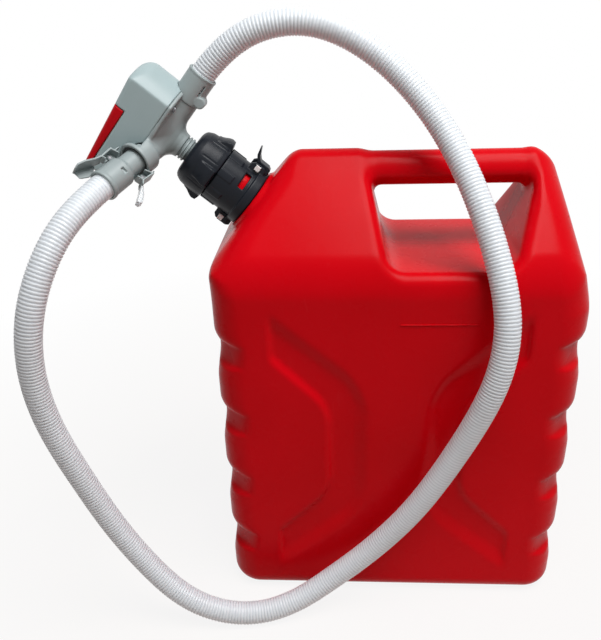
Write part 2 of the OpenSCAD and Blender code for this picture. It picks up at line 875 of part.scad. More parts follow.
module pump_base() {
  arm_r = arm_d / 2;
  funnel_r = head_d / 2 - 1;
  color("#8e9799")
    difference() {
      union() {
        on_neck() {
          translate([0, 0, tray_z])
            linear_extrude(tray_t)
              head_plan(0);
          rotate_extrude()
            polygon([
              [0, socket_z], [stub_d / 2 + 1.6, socket_z], [stub_d / 2 + 3, socket_z + 6],
              [chamber_d / 2 + 6, chamber_z + 7], [funnel_r, tray_z], [funnel_r, parting_z], [0, parting_z]
            ]);
        }
        intersection() {
          union() {
            on_outlet()
              cylinder(r = arm_r, h = sleeve_x);
            on_holster() {
              translate([0, 0, -holster_arm])
                cylinder(d = holster_arm_d, h = holster_arm - holster_depth);
              translate([0, 0, -holster_depth - holster_floor])
                cylinder(d = holster_d, h = holster_depth + holster_floor - ring_len / 2);
            }
          }
          on_neck()
            translate([-far / 2, -far / 2, parting_z - far])
              cube([far, far, far]);
        }
        on_holster()
          translate([0, 0, -ring_len])
            cylinder(d = holster_d, h = ring_len);
      }
      on_holster() {
        translate([0, 0, -holster_depth])
          cylinder(d = tip_d + 2 * tip_room, h = holster_depth);
        translate([0, 0, -ring_len - gap])
          cylinder(d = holster_bore_d, h = ring_len + gap + eps);
      }
      on_neck() {
        translate([0, 0, chamber_z])
          cylinder(d = chamber_d, h = chamber_h + eps);
        translate([0, 0, socket_z - eps])
          cylinder(d = stub_bore_d, h = chamber_z - socket_z + 1);
        translate([0, 0, socket_z - eps])
          cylinder(d = stub_d + 2 * fit, h = stub_top_z - socket_z + fit);
        for (p = screw_places) {
          translate([p[0], p[1], socket_z]) {
            cylinder(d = screw_d + 0.4, h = far);
            cylinder(d = screw_head_d + 1, h = tray_z - socket_z);
          }
        }
      }
      on_outlet()
        translate([0, 0, chamber_d / 2 - 3])
          cylinder(d = passage_d, h = sleeve_x);
      sleeve_recess();
    }
}

module head_housing() {
  inner_z = parting_z - 1;
  color("#aab4b4")
    difference() {
      on_neck()
        difference() {
          union() {
            difference() {
              head_form(0, parting_z);
              head_form(head_wall, inner_z);
            }
            intersection() {
              head_form(head_wall - 0.5, parting_z);
              translate([-2 * head_x0, -head_d, shelf_z])
                cube([2 * head_x0 + cover_x, 2 * head_d, shelf_t]);
            }
            intersection() {
              head_form(head_wall + 0.5, parting_z);
              translate([cover_x - bulkhead_t, -head_d, shelf_z])
                cube([bulkhead_t, 2 * head_d, head_h]);
            }
            for (p = screw_places) {
              translate([p[0], p[1], parting_z])
                cylinder(d = boss_post_d, h = (p[0] < 0 ? shelf_z + 0.5 : board_z) - parting_z);
            }
            intersection() {
              head_form(head_wall - 0.5, parting_z);
              for (p = screw_places) {
                translate([p[0] - 1, p[1] > 0 ? p[1] : -head_d, parting_z])
                  cube([2, head_d + (p[1] > 0 ? 0 : p[1]), board_z - parting_z]);
              }
            }
          }
          translate([-3 * head_x0, -head_d, cover_z])
            cube([3 * head_x0 + cover_x - bulkhead_t, 2 * head_d, head_h]);
          difference() {
            translate([cover_x - bulkhead_t - 1, -head_d, cover_z])
              cube([bulkhead_t + 1, 2 * head_d, head_h]);
            head_form(head_wall + 0.5, parting_z);
          }
          for (p = screw_places) {
            translate([p[0], p[1], inner_z])
              cylinder(d = screw_d + fit, h = screw_reach + 1);
          }
          translate([button_x, 0, top_z(button_x) - head_wall - 2])
            cylinder(d = button_d + 2 * gap, h = head_wall + 5);
        }
      on_holster() {
        translate([0, 0, -ring_len - gap])
          cylinder(d = holster_d + 2 * gap, h = 40);
        translate([0, 0, -holster_depth - gap])
          cylinder(d = tip_d + 2 * tip_room, h = 40);
      }
      sleeve_recess();
    }
}

module battery_cover() {
  color("#c8141e")
    on_neck()
      intersection() {
        difference() {
          head_form(0, parting_z);
          head_form(head_wall, parting_z - 1);
        }
        translate([-3 * head_x0, -head_d, cover_z + gap])
          cube([3 * head_x0 + cover_x - gap, 2 * head_d, head_h]);
      }
}

module housing_screws() {
  color("#b8b8b8")
    on_neck()
      for (p = screw_places) {
        translate([p[0], p[1], tray_z - screw_head_h]) {
          cylinder(d = screw_head_d, h = screw_head_h);
          cylinder(d = screw_d, h = screw_head_h + tray_t + screw_reach - 1);
        }
      }
}

seal_t = 1.4;
seal_d = 8;
module chamber_cover() {
  color("#5a6062")
    on_neck()
      difference() {
        translate([0, 0, parting_z])
          cylinder(d = chamber_d + 5, h = cover_plate_t);
        cylinder(d = shaft_d + 1.2, h = far);
        cylinder(d = seal_d + fit, h = parting_z + seal_t);
      }
}

module shaft_seal() {
  color("#2a2a2a")
    on_neck()
      ring(seal_d / 2, shaft_d / 2 + pin_fit, parting_z, parting_z + seal_t);
}

module motor() {
  color("#b9bcc0")
    on_neck()
      difference() {
        translate([0, 0, motor_z])
          cylinder(d = motor_d, h = motor_len);
        translate([0, 0, motor_z - eps])
          cylinder(d = shaft_d + 2 * pin_fit, h = motor_len - 4);
      }
}

module motor_shaft() {
  color("#c8c8c8")
    on_neck()
      translate([0, 0, chamber_z + 2])
        cylinder(d = shaft_d, h = motor_z + motor_len - 5 - chamber_z - 2);
}

module impeller() {
  hub_d = 8;
  foot = chamber_z + 3;
  blade_h = chamber_h - 7;
  color("#e6e2d6")
    on_neck()
      difference() {
        union() {
          translate([0, 0, foot])
            cylinder(d = hub_d, h = blade_h + 1.5);
          translate([0, 0, foot + blade_h])
            cylinder(d = impeller_d, h = 1.5);
          for (k = [0:vane_count - 1]) {
            rotate([0, 0, k * 360 / vane_count])
              translate([hub_d / 2 - 1, -0.8, foot])
                cube([impeller_d / 2 - hub_d / 2, 1.6, blade_h]);
          }
        }
        cylinder(d = shaft_d + 0.04, h = far);
      }
}

module batteries() {
  color("#3c4650")
    on_neck()
      for (k = [0:cell_count - 1]) {
        translate([cell_first_x + k * cell_pitch, 0, cell_z])
          rotate([90, 0, 180 * (k % 2)]) {
            cylinder(d = cell_d, h = cell_len, center = true);
            cylinder(d = 5.4, h = cell_len / 2 + 1);
          }
      }
}

module battery_contacts() {
  contact_w = cell_d - 3;
  color("#c9b06a")
    on_neck()
      for (k = [0:cell_count - 1], side = [-1, 1]) {
        translate([cell_first_x + k * cell_pitch, side * (contact_y - 0.25), shelf_top_z]) {
          translate([-contact_w / 2, -0.25, 0])
            cube([contact_w, 0.5, cell_d - 2]);
          translate([0, 0, cell_z - shelf_top_z])
            rotate([side * 90, 0, 0])
              cylinder(d = 4.5, h = contact_y - 0.25 - cell_len / 2 - 1 - gap);
        }
      }
}

module circuit_board() {
  color("#2e6b3c")
    on_neck()
      translate([motor_d / 2 + 0.6, -20, board_z])
        cube([34 - motor_d / 2 - 0.6, 40, board_t]);
}

module switch_module() {
  color("#26282c")
    on_neck()
      translate([button_x - 4, -4, board_z + board_t])
        cube([8, 8, button_low_z - button_travel - gap - board_z - board_t]);
}

module switch_button() {
  color("#2b2f33")
    on_neck()
      translate([button_x, 0, button_low_z]) {
        cylinder(d = button_d + 2 * button_flange, h = button_flange_t);
        cylinder(d = button_d, h = top_z(button_x) + button_proud - button_low_z);
      }
}

module outlet_coupling() {
  nub_d = 10;
  color("#8e9799")
    on_outlet()
      difference() {
        union() {
          translate([0, 0, sleeve_x])
            cylinder(d = sleeve_d, h = sleeve_len);
          translate([0, 0, sleeve_x - 7])
            cylinder(d = passage_d - 2 * fit, h = 8);
          translate([sleeve_d / 2 - 1.2, -4, sleeve_x + 6.7])
            rotate([90, 0, 0])
              cylinder(d = nub_d, h = 14, center = true);
        }
        translate([0, 0, hose_seat_x - seat_room])
          cylinder(d = hose_d + 2 * hose_room, h = sleeve_len);
        translate([0, 0, sleeve_x - 8])
          cylinder(d = passage_d - 3, h = sleeve_len + 9);
      }
}

// Sweep of eight-sided rings: out along the ribs, and back along the bore
module delivery_hose() {
  sides = 8;
  bore_rings = 70;
  last = 2 * rib_count - 1;
  bore_step = hose_len / (bore_rings - 1);
  function bore_s(k) = hose_len - k * bore_step;
  function rib_s(k) = hose_len * k / last;
  function frame_at(s) =
    let (
      h = 1.5,
      t = unit(hose_along(min(s + h, hose_len)) - hose_along(max(s - h, 0))),
      u = unit(cross(t, abs(t[1]) > 0.9 ? [1, 0, 0] : [0, 1, 0]))
    )
    [u, cross(t, u)];
  function ring_at(s, r) =
    let (p = hose_along(s), f = frame_at(s))
    [for (k = [0:sides - 1]) p + r * (cos(k * 360 / sides) * f[0] + sin(k * 360 / sides) * f[1])];
  rings = concat(
    [for (k = [0:last]) ring_at(rib_s(k), hose_d / 2 - (floor((k + 1) / 2) % 2) * rib_depth)],
    [for (k = [0:bore_rings - 1]) ring_at(bore_s(k), hose_bore_d / 2)]
  );
  count = len(rings);
  pts = [for (r = rings) each r];
  faces = [
    for (k = [0:count - 1], j = [0:sides - 1])
      let (
        a = k * sides + j,
        b = k * sides + (j + 1) % sides,
        c = ((k + 1) % count) * sides + (j + 1) % sides,
        d = ((k + 1) % count) * sides + j
      )
      each [[a, c, b], [a, d, c]]
  ];
  echo(hose_length = hose_len);
  color("#dfe3e6")
    polyhedron(pts, faces);
}

// A flat piece of the nozzle or a latch, from y0 to y1, with its outline in x and z
module latch_slice(outline, y0, y1) {
  translate([0, (y0 + y1) / 2, 0])
    across(y1 - y0)
      polygon(outline);
}

module nozzle_body() {
  color("#9aa4a5")
    on_holster()
      difference() {
        union() {
          translate([0, 0, -tip_reach])
            cylinder(d = tip_d, h = tip_reach + tip_len + 2);
          translate([0, 0, tip_len])
            cylinder(d1 = tip_d, d2 = nozzle_d, h = 3);
          translate([0, 0, tip_len + 3])
            cylinder(d = nozzle_d, h = nozzle_len - tip_len - 3);
          latch_slice(left_cheek, -latch_w / 2 - gap - latch_cheek_t, -latch_w / 2 - gap);
          latch_slice(right_cheek, -latch_w / 2 - gap - latch_cheek_t, -latch_w / 2 - gap);
        }
        translate([0, 0, -tip_reach - eps])
          cylinder(d = tip_d - 5, h = far);
        translate([0, 0, nozzle_len - hose_grip - seat_room])
          cylinder(d = hose_d + 2 * hose_room, h = far);
        for (p = [[-latch_x, latch_left_z], [latch_x, latch_right_z]]) {
          translate([p[0], 0, p[1]])
            rotate([90, 0, 0])
              cylinder(d = latch_pin_d + 2 * pin_fit, h = 2 * latch_w, center = true);
        }
        translate([0.6, tip_d / 2 + 0.5, nozzle_len - hose_grip - 5.9])
          cube([5.2, nozzle_d, 3]);
      }
}

module nozzle_seal() {
  color("#2a2a2a")
    on_holster()
      ring(holster_bore_d / 2 - gap, tip_d / 2 + pin_fit, gap - ring_len, 2.3 - ring_len);
}

// Hub of a latch round its pin, and the bore for the pin
module latch_hub_form(r, h) {
  translate([0, -latch_w / 2 + 1, 0])
    rotate([-90, 0, 0])
      cylinder(r = r, h = h);
}

module latch_lever_left() {
  low = 1 - latch_w / 2;
  color("#9aa4a5")
    on_holster()
      translate([-latch_x, 0, latch_left_z])
        difference() {
          union() {
            latch_slice(left_plate, latch_far_y, latch_near_y);
            latch_slice(left_flange, latch_far_y - 1.4, latch_far_y + 0.2);
            latch_slice(left_floor, low, low + latch_floor_t);
            latch_slice(left_wall_low, low, latch_near_y);
            latch_slice(left_wall_high, low, latch_near_y);
            latch_slice(left_finger, low, low + latch_hub);
            latch_hub_form(latch_r, latch_hub);
          }
          translate([0, -1, 0])
            latch_hub_form(latch_pin_d / 2 + pin_fit, latch_hub + 2);
        }
}

module latch_lever_right() {
  low = 1 - latch_w / 2;
  color("#9aa4a5")
    on_holster()
      translate([latch_x, 0, latch_right_z])
        difference() {
          union() {
            latch_slice(right_plate, -latch_near_y, latch_near_y);
            latch_slice(right_floor, low, low + latch_floor_t);
            latch_slice(right_wall_low, low, latch_near_y);
            latch_slice(right_wall_high, low, latch_near_y);
            latch_slice(right_finger, low, low + latch_hub);
            latch_hub_form(latch_r, latch_hub);
          }
          translate([0, -1, 0])
            latch_hub_form(latch_pin_d / 2 + pin_fit, latch_hub + 2);
        }
}

// Clear end of the right-hand lever
module latch_tip() {
  color("#e9eef0")
    on_holster()
      translate([latch_x, 0, latch_right_z])
        latch_slice(right_tip, -latch_w / 2, latch_w / 2);
}

module latch_pins() {
  foot = -latch_w / 2 - gap - latch_cheek_t;
  color("#b8b8b8")
    on_holster()
      for (p = [[-latch_x, latch_left_z], [latch_x, latch_right_z]]) {
        translate([p[0], foot, p[1]])
          rotate([-90, 0, 0])
            cylinder(d = latch_pin_d, h = latch_hub + 1 - latch_w / 2 - foot);
      }
}

// Torsion springs round the latch pins, beside the levers
module latch_springs() {
  color("#b8b8b8")
    on_holster()
      for (p = [[-latch_x, latch_left_z], [latch_x, latch_right_z]]) {
        translate([p[0], 0, p[1]])
          rotate([90, 0, 0])
            ring(latch_pin_d / 2 + 1, latch_pin_d / 2 + pin_fit, latch_w / 2 - 1 + gap, latch_w / 2 + gap);
      }
}

can_body();
neck_gasket();
adapter_collar();
cam_lever_upper();
cam_lever_lower();
lever_pins();
gland_nut();
gland_seal();
suction_stub();
suction_hose();
strainer_foot();
pump_base();
head_housing();
battery_cover();
housing_screws();
chamber_cover();
shaft_seal();
motor();
motor_shaft();
impeller();
batteries();
battery_contacts();
circuit_board();
switch_module();
switch_button();
outlet_coupling();
delivery_hose();
nozzle_body();
nozzle_seal();
latch_lever_left();
latch_lever_right();
latch_tip();
latch_pins();
latch_springs();
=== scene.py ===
import json
import math

import bpy
import numpy as np
from mathutils import Matrix, Vector


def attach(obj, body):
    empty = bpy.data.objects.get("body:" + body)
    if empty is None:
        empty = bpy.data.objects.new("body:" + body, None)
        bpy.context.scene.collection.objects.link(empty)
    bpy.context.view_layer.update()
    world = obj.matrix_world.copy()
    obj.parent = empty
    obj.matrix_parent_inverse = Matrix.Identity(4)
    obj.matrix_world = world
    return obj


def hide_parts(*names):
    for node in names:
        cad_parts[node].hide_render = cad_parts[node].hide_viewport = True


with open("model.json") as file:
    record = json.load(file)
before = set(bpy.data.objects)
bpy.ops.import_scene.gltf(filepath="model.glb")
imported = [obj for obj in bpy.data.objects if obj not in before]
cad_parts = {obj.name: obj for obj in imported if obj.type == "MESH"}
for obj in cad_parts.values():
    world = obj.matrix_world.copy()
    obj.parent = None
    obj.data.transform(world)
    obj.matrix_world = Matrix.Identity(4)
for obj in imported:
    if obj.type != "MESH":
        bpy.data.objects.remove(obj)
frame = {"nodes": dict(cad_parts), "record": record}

scene = bpy.context.scene
nodes = frame["nodes"]
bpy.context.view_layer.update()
mm = 0.001
print("frame loaded,", len(nodes), "nodes")

# camera, set to the photograph's view

view = {
    "place": (-49.0, -643.0, 605.5),
    "right": (0.99806, 0.05393, -0.03098),
    "up": (0.00384, 0.44382, 0.89611),
    "ahead": (-0.06208, 0.89450, -0.44276),
    "focal": 701.0,  # in pixels of the 640 px side
}


def setCamera(v):
    lens = bpy.data.cameras.new("viewCamera")
    lens.sensor_width = 36.0
    lens.lens = v["focal"] / 640.0 * 36.0
    lens.clip_start = 0.01
    camera = bpy.data.objects.new("viewCamera", lens)
    scene.collection.objects.link(camera)
    r, u, f = (Vector(v[k]).normalized() for k in ("right", "up", "ahead"))
    place = Vector(v["place"]) * mm
    rows = [[r[k], u[k], -f[k], place[k]] for k in range(3)]
    camera.matrix_world = Matrix(rows + [[0, 0, 0, 1]])
    scene.camera = camera


setCamera(view)

# frames of the pump and the nozzle, in millimetres


def turnY(deg):
    c, s = math.cos(math.radians(deg)), math.sin(math.radians(deg))
    return np.array([[c, 0, s], [0, 1, 0], [-s, 0, c]])


def turnZ(deg):
    c, s = math.cos(math.radians(deg)), math.sin(math.radians(deg))
    return np.array([[c, -s, 0], [s, c, 0], [0, 0, 1]])


neckTilt = 40.0
neckTurn = turnY(neckTilt - 90.0)  # columns: up the slope, away from the camera, out along the neck
neckAt = np.array([-136.5, 0.0, 416.0])
outletZ = 99.6
holsterTurn = neckTurn @ turnZ(236.0) @ turnY(80.5)
holsterAt = neckAt + neckTurn @ np.array([-26.0, -38.0, 103.3])


def fromNeck(p):
    return np.asarray(p, float) @ neckTurn.T + neckAt


def fromHolster(p):
    return np.asarray(p, float) @ holsterTurn.T + holsterAt


def toHolster(p):
    # neck coordinates to holster coordinates
    return (p @ neckTurn.T + neckAt - holsterAt) @ holsterTurn


# mesh tools


def toMesh(name, verts, quads):
    # verts in millimetres of the part's frame, quads as an index array
    verts = np.asarray(verts, np.float64) * mm
    quads = np.asarray(quads, np.int32).reshape(-1, 4)
    mesh = bpy.data.meshes.new(name)
    mesh.vertices.add(len(verts))
    mesh.vertices.foreach_set("co", verts.astype(np.float32).ravel())
    starts = np.arange(len(quads)) * 4
    mesh.loops.add(quads.size)
    mesh.loops.foreach_set("vertex_index", quads.ravel())
    mesh.polygons.add(len(starts))
    mesh.polygons.foreach_set("loop_start", starts.astype(np.int32))
    mesh.update(calc_edges=True)
    mesh.polygons.foreach_set("use_smooth", np.ones(len(starts), bool))
    mesh.update()
    return mesh


def piece(name, mesh, body, slot, finish, *replaced):
    obj = bpy.data.objects.new(name, mesh)
    scene.collection.objects.link(obj)
    mesh.materials.append(finish)
    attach(obj, body)
    if replaced:
        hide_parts(*replaced)
    print("piece", name, len(mesh.polygons), "faces")
    return obj


def ringQuads(rows, cols):
    # index quads of a grid of rows x cols points, closed round both ways
    r, c = np.meshgrid(np.arange(rows), np.arange(cols), indexing="ij")
    r2, c2 = (r + 1) % rows, (c + 1) % cols
    return np.stack([r * cols + c, r * cols + c2, r2 * cols + c2, r2 * cols + c], -1).reshape(-1, 4)


def lathe(profile, sides=96):
    # a closed profile of (radius, height) turned round z: point = (r cos a, r sin a, h)
    p = np.asarray(profile, float)
    a = np.linspace(0, 2 * np.pi, sides, endpoint=False)
    grid = np.stack([p[:, :1] * np.cos(a), p[:, :1] * np.sin(a), np.repeat(p[:, 1:2], sides, 1)], -1)
    return grid.reshape(-1, 3), ringQuads(len(p), sides)


# shapes as distance fields: negative inside, rounded where two sides meet


def softMax(a, b, r):
    # the larger of two distances, with the corner between them rounded by r
    return np.minimum(np.maximum(a, b), -r) + np.hypot(np.maximum(a + r, 0), np.maximum(b + r, 0))


def softMin(a, b, r):
    # the smaller of two distances, with a fillet of r between them
    return -softMax(-a, -b, r)


def edgeR(radius, cosBetween):
    # softMax's r that cuts a corner as far as a true arc, for sides whose normals meet at that cosine
    half = math.sqrt((1 + cosBetween) / 2)
    return radius * (1 - half) / 0.29289


def smoothStep(lo, hi, v):
    t = np.clip((v - lo) / (hi - lo), 0, 1)
    return t * t * (3 - 2 * t)


def gradient(field, p, h):
    # central differences of the field along each axis
    g = np.empty_like(p)
    for k in range(3):
        step = np.zeros(3)
        step[k] = h
        g[:, k] = (field(p + step) - field(p - step)) / (2 * h)
    return g


def skin(field, lo, hi, step, rounds=3):
    # samples the field on a grid, puts one point in each cell that the surface crosses, joins the points
    # round each crossed grid edge, then slides them down the gradient onto the zero level
    lo, hi = np.asarray(lo, float), np.asarray(hi, float)
    n = np.ceil((hi - lo) / step).astype(int) + 1
    axes = [lo[k] + step * np.arange(n[k]) for k in range(3)]
    grid = np.stack(np.meshgrid(*axes, indexing="ij"), -1).reshape(-1, 3)
    v = field(grid).reshape(n)
    low = v < 0
    corners = [(i, j, k) for i in (0, 1) for j in (0, 1) for k in (0, 1)]

    def at(a, c):
        return a[tuple(slice(c[k], n[k] - 1 + c[k]) for k in range(3))]

    count = sum(at(low, c).astype(np.int8) for c in corners)
    live = (count > 0) & (count < 8)
    index = np.full(live.shape, -1, np.int64)
    index[live] = np.arange(live.sum())
    cells = np.argwhere(live)
    total = np.zeros((len(cells), 3))
    weight = np.zeros(len(cells))
    for a in corners:
        for axis in range(3):
            if a[axis]:
                continue
            b = tuple(1 if k == axis else a[k] for k in range(3))
            va, vb = at(v, a)[live], at(v, b)[live]
            cross = (va < 0) != (vb < 0)
            t = np.where(cross, va / np.where(cross, va - vb, 1), 0)
            point = np.tile(np.array(a, float), (len(cells), 1))
            point[:, axis] = t
            total += point * cross[:, None]
            weight += cross
    verts = lo + step * (cells + total / weight[:, None])
    quads = []
    for axis in range(3):
        b, c = (axis + 1) % 3, (axis + 2) % 3
        ahead = np.roll(low, -1, axis)
        cross = low != ahead
        keep = np.ones(cross.shape, bool)
        for k, first in ((axis, 0), (b, 1), (c, 1)):
            cut = [slice(None)] * 3
            cut[k] = slice(n[k] - 1, None)
            keep[tuple(cut)] = False
            if first:
                cut[k] = slice(0, 1)
                keep[tuple(cut)] = False
        p = np.argwhere(cross & keep)
        eb, ec = np.eye(3, dtype=int)[b], np.eye(3, dtype=int)[c]
        q = np.stack([index[tuple((p - d).T)] for d in (eb + ec, ec, 0 * eb, eb)], -1)
        flip = ~low[tuple(p.T)]
        q[flip] = q[flip][:, ::-1]
        quads.append(q)
    quads = np.concatenate(quads)
    edges = np.concatenate([quads[:, [0, 1]], quads[:, [1, 2]], quads[:, [2, 3]], quads[:, [3, 0]]])
    for k in range(rounds):
        if k < rounds - 1:
            near = np.zeros_like(verts)
            number = np.zeros(len(verts))
            for s, e in ((0, 1), (1, 0)):
                for d in range(3):
                    near[:, d] += np.bincount(edges[:, s], verts[edges[:, e], d], len(verts))
                number += np.bincount(edges[:, s], minlength=len(verts))
            verts = 0.5 * verts + 0.5 * near / number[:, None]
        for _ in range(2):
            g = gradient(field, verts, 0.02 * step)
            f = field(verts)
            move = f[:, None] * g / np.maximum((g * g).sum(1), 0.2)[:, None]
            size = np.linalg.norm(move, axis=1)
            verts = verts - move * np.minimum(1, 0.5 * step / np.maximum(size, 1e-9))[:, None]
    return verts, quads


# finishes: a small wrapper that lets shader sums be written as sums


class Wire:
    def __init__(self, finish, socket):
        self.finish, self.socket = finish, socket

    def sum(self, operation, other, flip=False):
        pair = (other, self) if flip else (self, other)
        return self.finish.add("ShaderNodeMath", {"operation": operation}, {0: pair[0], 1: pair[1]})

    def __add__(self, other): return self.sum("ADD", other)
    def __radd__(self, other): return self.sum("ADD", other, True)
    def __sub__(self, other): return self.sum("SUBTRACT", other)
    def __rsub__(self, other): return self.sum("SUBTRACT", other, True)
    def __mul__(self, other): return self.sum("MULTIPLY", other)
    def __rmul__(self, other): return self.sum("MULTIPLY", other, True)
    def __abs__(self): return self.sum("ABSOLUTE", 0.0)
    def smaller(self, other): return self.sum("MINIMUM", other)


class Finish:
    def __init__(self, name, **values):
        self.material = bpy.data.materials.new(name)
        self.material.use_nodes = True
        self.tree = self.material.node_tree
        self.shader = next(x for x in self.tree.nodes if x.type == "BSDF_PRINCIPLED")
        self.set(values)
        self.object = self.add("ShaderNodeTexCoord", out="Object")

    def feed(self, socket, value):
        if isinstance(value, Wire):
            self.tree.links.new(value.socket, socket)
        else:
            socket.default_value = value

    def set(self, values):
        for name, value in values.items():
            self.feed(self.shader.inputs[name.replace("_", " ")], value)

    def add(self, kind, settings=None, sockets=None, out=0):
        node = self.tree.nodes.new(kind)
        for name, value in (settings or {}).items():
            setattr(node, name, value)
        for name, value in (sockets or {}).items():
            self.feed(node.inputs[name], value)
        return Wire(self, node.outputs[out])

    def noise(self, scale, detail=3.0, vector=None, roughness=0.5):
        return self.add("ShaderNodeTexNoise", None, {
            "Vector": vector or self.object, "Scale": scale, "Detail": detail, "Roughness": roughness,
        })

    def axis(self, name):
        return self.add("ShaderNodeSeparateXYZ", None, {"Vector": self.object}, name)

    def ramp(self, value, lo, hi, a=0.0, b=1.0):
        return self.add("ShaderNodeMapRange", {"clamp": True}, {
            "Value": value, "From Min": lo, "From Max": hi, "To Min": a, "To Max": b,
        })

    def blend(self, share, a, b):
        return self.add("ShaderNodeMix", {"data_type": "RGBA"}, {0: share, 6: a, 7: b}, 2)

    def bump(self, height, distance, strength=1.0, under=None):
        sockets = {"Height": height, "Distance": distance, "Strength": strength}
        if under:
            sockets["Normal"] = under
        return self.add("ShaderNodeBump", None, sockets)


def rgb(r, g, b):
    return (r, g, b, 1.0)


def canRedFinish():
    f = Finish("canRed", Specular_IOR_Level=0.055)
    cloud = f.noise(7.0, 2.0)
    peel = f.noise(900.0, 2.0)
    drift = f.noise(38.0, 3.0)
    scuffWeb = f.add("ShaderNodeMapping", None, {"Vector": f.object, "Scale": (1.0, 1.0, 0.16)})
    scuff = f.ramp(f.noise(120.0, 5.0, scuffWeb, 0.65), 0.66, 0.78)
    seam = f.ramp(abs(f.axis("Y")), 0.0003, 0.0011, 1.0, 0.0)
    deep, fresh, worn = rgb(0.53, 0.0004, 0.004), rgb(0.60, 0.0008, 0.006), rgb(0.64, 0.03, 0.04)
    colour = f.blend(f.ramp(cloud, 0.3, 0.7), deep, fresh)
    colour = f.blend(scuff * 0.18, colour, worn)
    colour = f.blend(seam * 0.35, colour, rgb(0.36, 0.002, 0.004))
    height = peel * 0.10 + drift * 0.5 + seam * 0.9
    f.set({
        "Base Color": colour,
        "Roughness": f.ramp(drift, 0.3, 0.7, 0.24, 0.31) + scuff * 0.12,
        "Normal": f.bump(height, 0.0006, 0.35),
    })
    return f.material


def hoseFinish():
    f = Finish("hoseClear", Specular_IOR_Level=0.5, Subsurface_Weight=0.5, Subsurface_Radius=(0.6, 0.6, 0.62))
    f.set({"Subsurface Scale": 0.006})
    rib = f.add("ShaderNodeAttribute", {"attribute_name": "rib"}, None, "Fac")
    cloud = f.noise(16.0, 3.0)
    # painted shade: the rib profile makes the grooves darker and the crests lighter
    colour = f.blend(f.ramp(rib, 0.0, 0.8), rgb(0.56, 0.60, 0.645), rgb(0.71, 0.75, 0.79))
    colour = f.blend(f.ramp(cloud, 0.35, 0.75) * 0.25, colour, rgb(0.585, 0.61, 0.635))
    f.set({
        "Base Color": colour,
        "Roughness": f.ramp(cloud, 0.3, 0.7, 0.30, 0.42),
        "Normal": f.bump(f.noise(700.0, 2.0), 0.0003, 0.15),
    })
    return f.material


def moulded(name, light, dark, rough, grain=1400.0, edge=0.0006, **values):
    # plain moulded plastic: faint clouds of colour, fine grain and softened edges
    f = Finish(name, **values)
    cloud, fine = f.noise(28.0, 3.0), f.noise(grain, 2.0)
    soft = f.add("ShaderNodeBevel", {"samples": 6}, {"Radius": edge})
    f.set({
        "Base Color": f.blend(f.ramp(cloud, 0.3, 0.7), rgb(*dark), rgb(*light)),
        "Roughness": f.ramp(cloud, 0.3, 0.7, rough - 0.04, rough + 0.05),
        "Normal": f.bump(fine, 0.0002, 0.2, soft),
    })
    return f.material


finishes = {
    "can_red": canRedFinish(),
    "cover_red": moulded(
        "coverRed", (0.50, 0.001, 0.006), (0.44, 0.001, 0.005), 0.36, Specular_IOR_Level=0.12),
    "adapter_black": moulded(
        "adapterBlack", (0.009, 0.0115, 0.017), (0.006, 0.008, 0.012), 0.38, Specular_IOR_Level=0.17),
    "pump_grey": moulded("pumpGrey", (0.328, 0.414, 0.425), (0.30, 0.38, 0.39), 0.45),
    # painted shade: the head's grey plastic made darker for the pieces under and beside the head
    "pump_grey_dark": moulded("pumpGreyPaintedShade", (0.293, 0.343, 0.347), (0.26, 0.304, 0.308), 0.42),
    "pin_white": moulded("pinWhite", (0.86, 0.85, 0.84), (0.80, 0.79, 0.78), 0.45),
    "tip_clear": moulded("tipClear", (0.80, 0.83, 0.85), (0.72, 0.75, 0.78), 0.18, Transmission_Weight=0.5),
    "seal_rubber": moulded("sealRubber", (0.025, 0.025, 0.025), (0.016, 0.016, 0.016), 0.62),
    "steel": moulded("steel", (0.20, 0.20, 0.21), (0.15, 0.15, 0.16), 0.45, Metallic=0.8),
    "cell_jacket": moulded("cellJacket", (0.05, 0.07, 0.09), (0.035, 0.05, 0.065), 0.35),
    "contact_metal": moulded("contactMetal", (0.66, 0.52, 0.28), (0.58, 0.45, 0.22), 0.32, Metallic=1.0),
    "board_green": moulded("boardGreen", (0.03, 0.15, 0.05), (0.02, 0.11, 0.04), 0.40),
    "button_dark": moulded("buttonDark", (0.026, 0.030, 0.034), (0.018, 0.021, 0.024), 0.50),
    "hose_clear": hoseFinish(),
}
for part in frame["record"]["subparts"]:
    shown = nodes[part["node"]].data
    shown.materials.clear()
    shown.materials.append(finishes[part["material_slot"]])
print("finishes on", len(nodes), "nodes")

# delivery hose: a ribbed tube along a uniform cubic B-spline

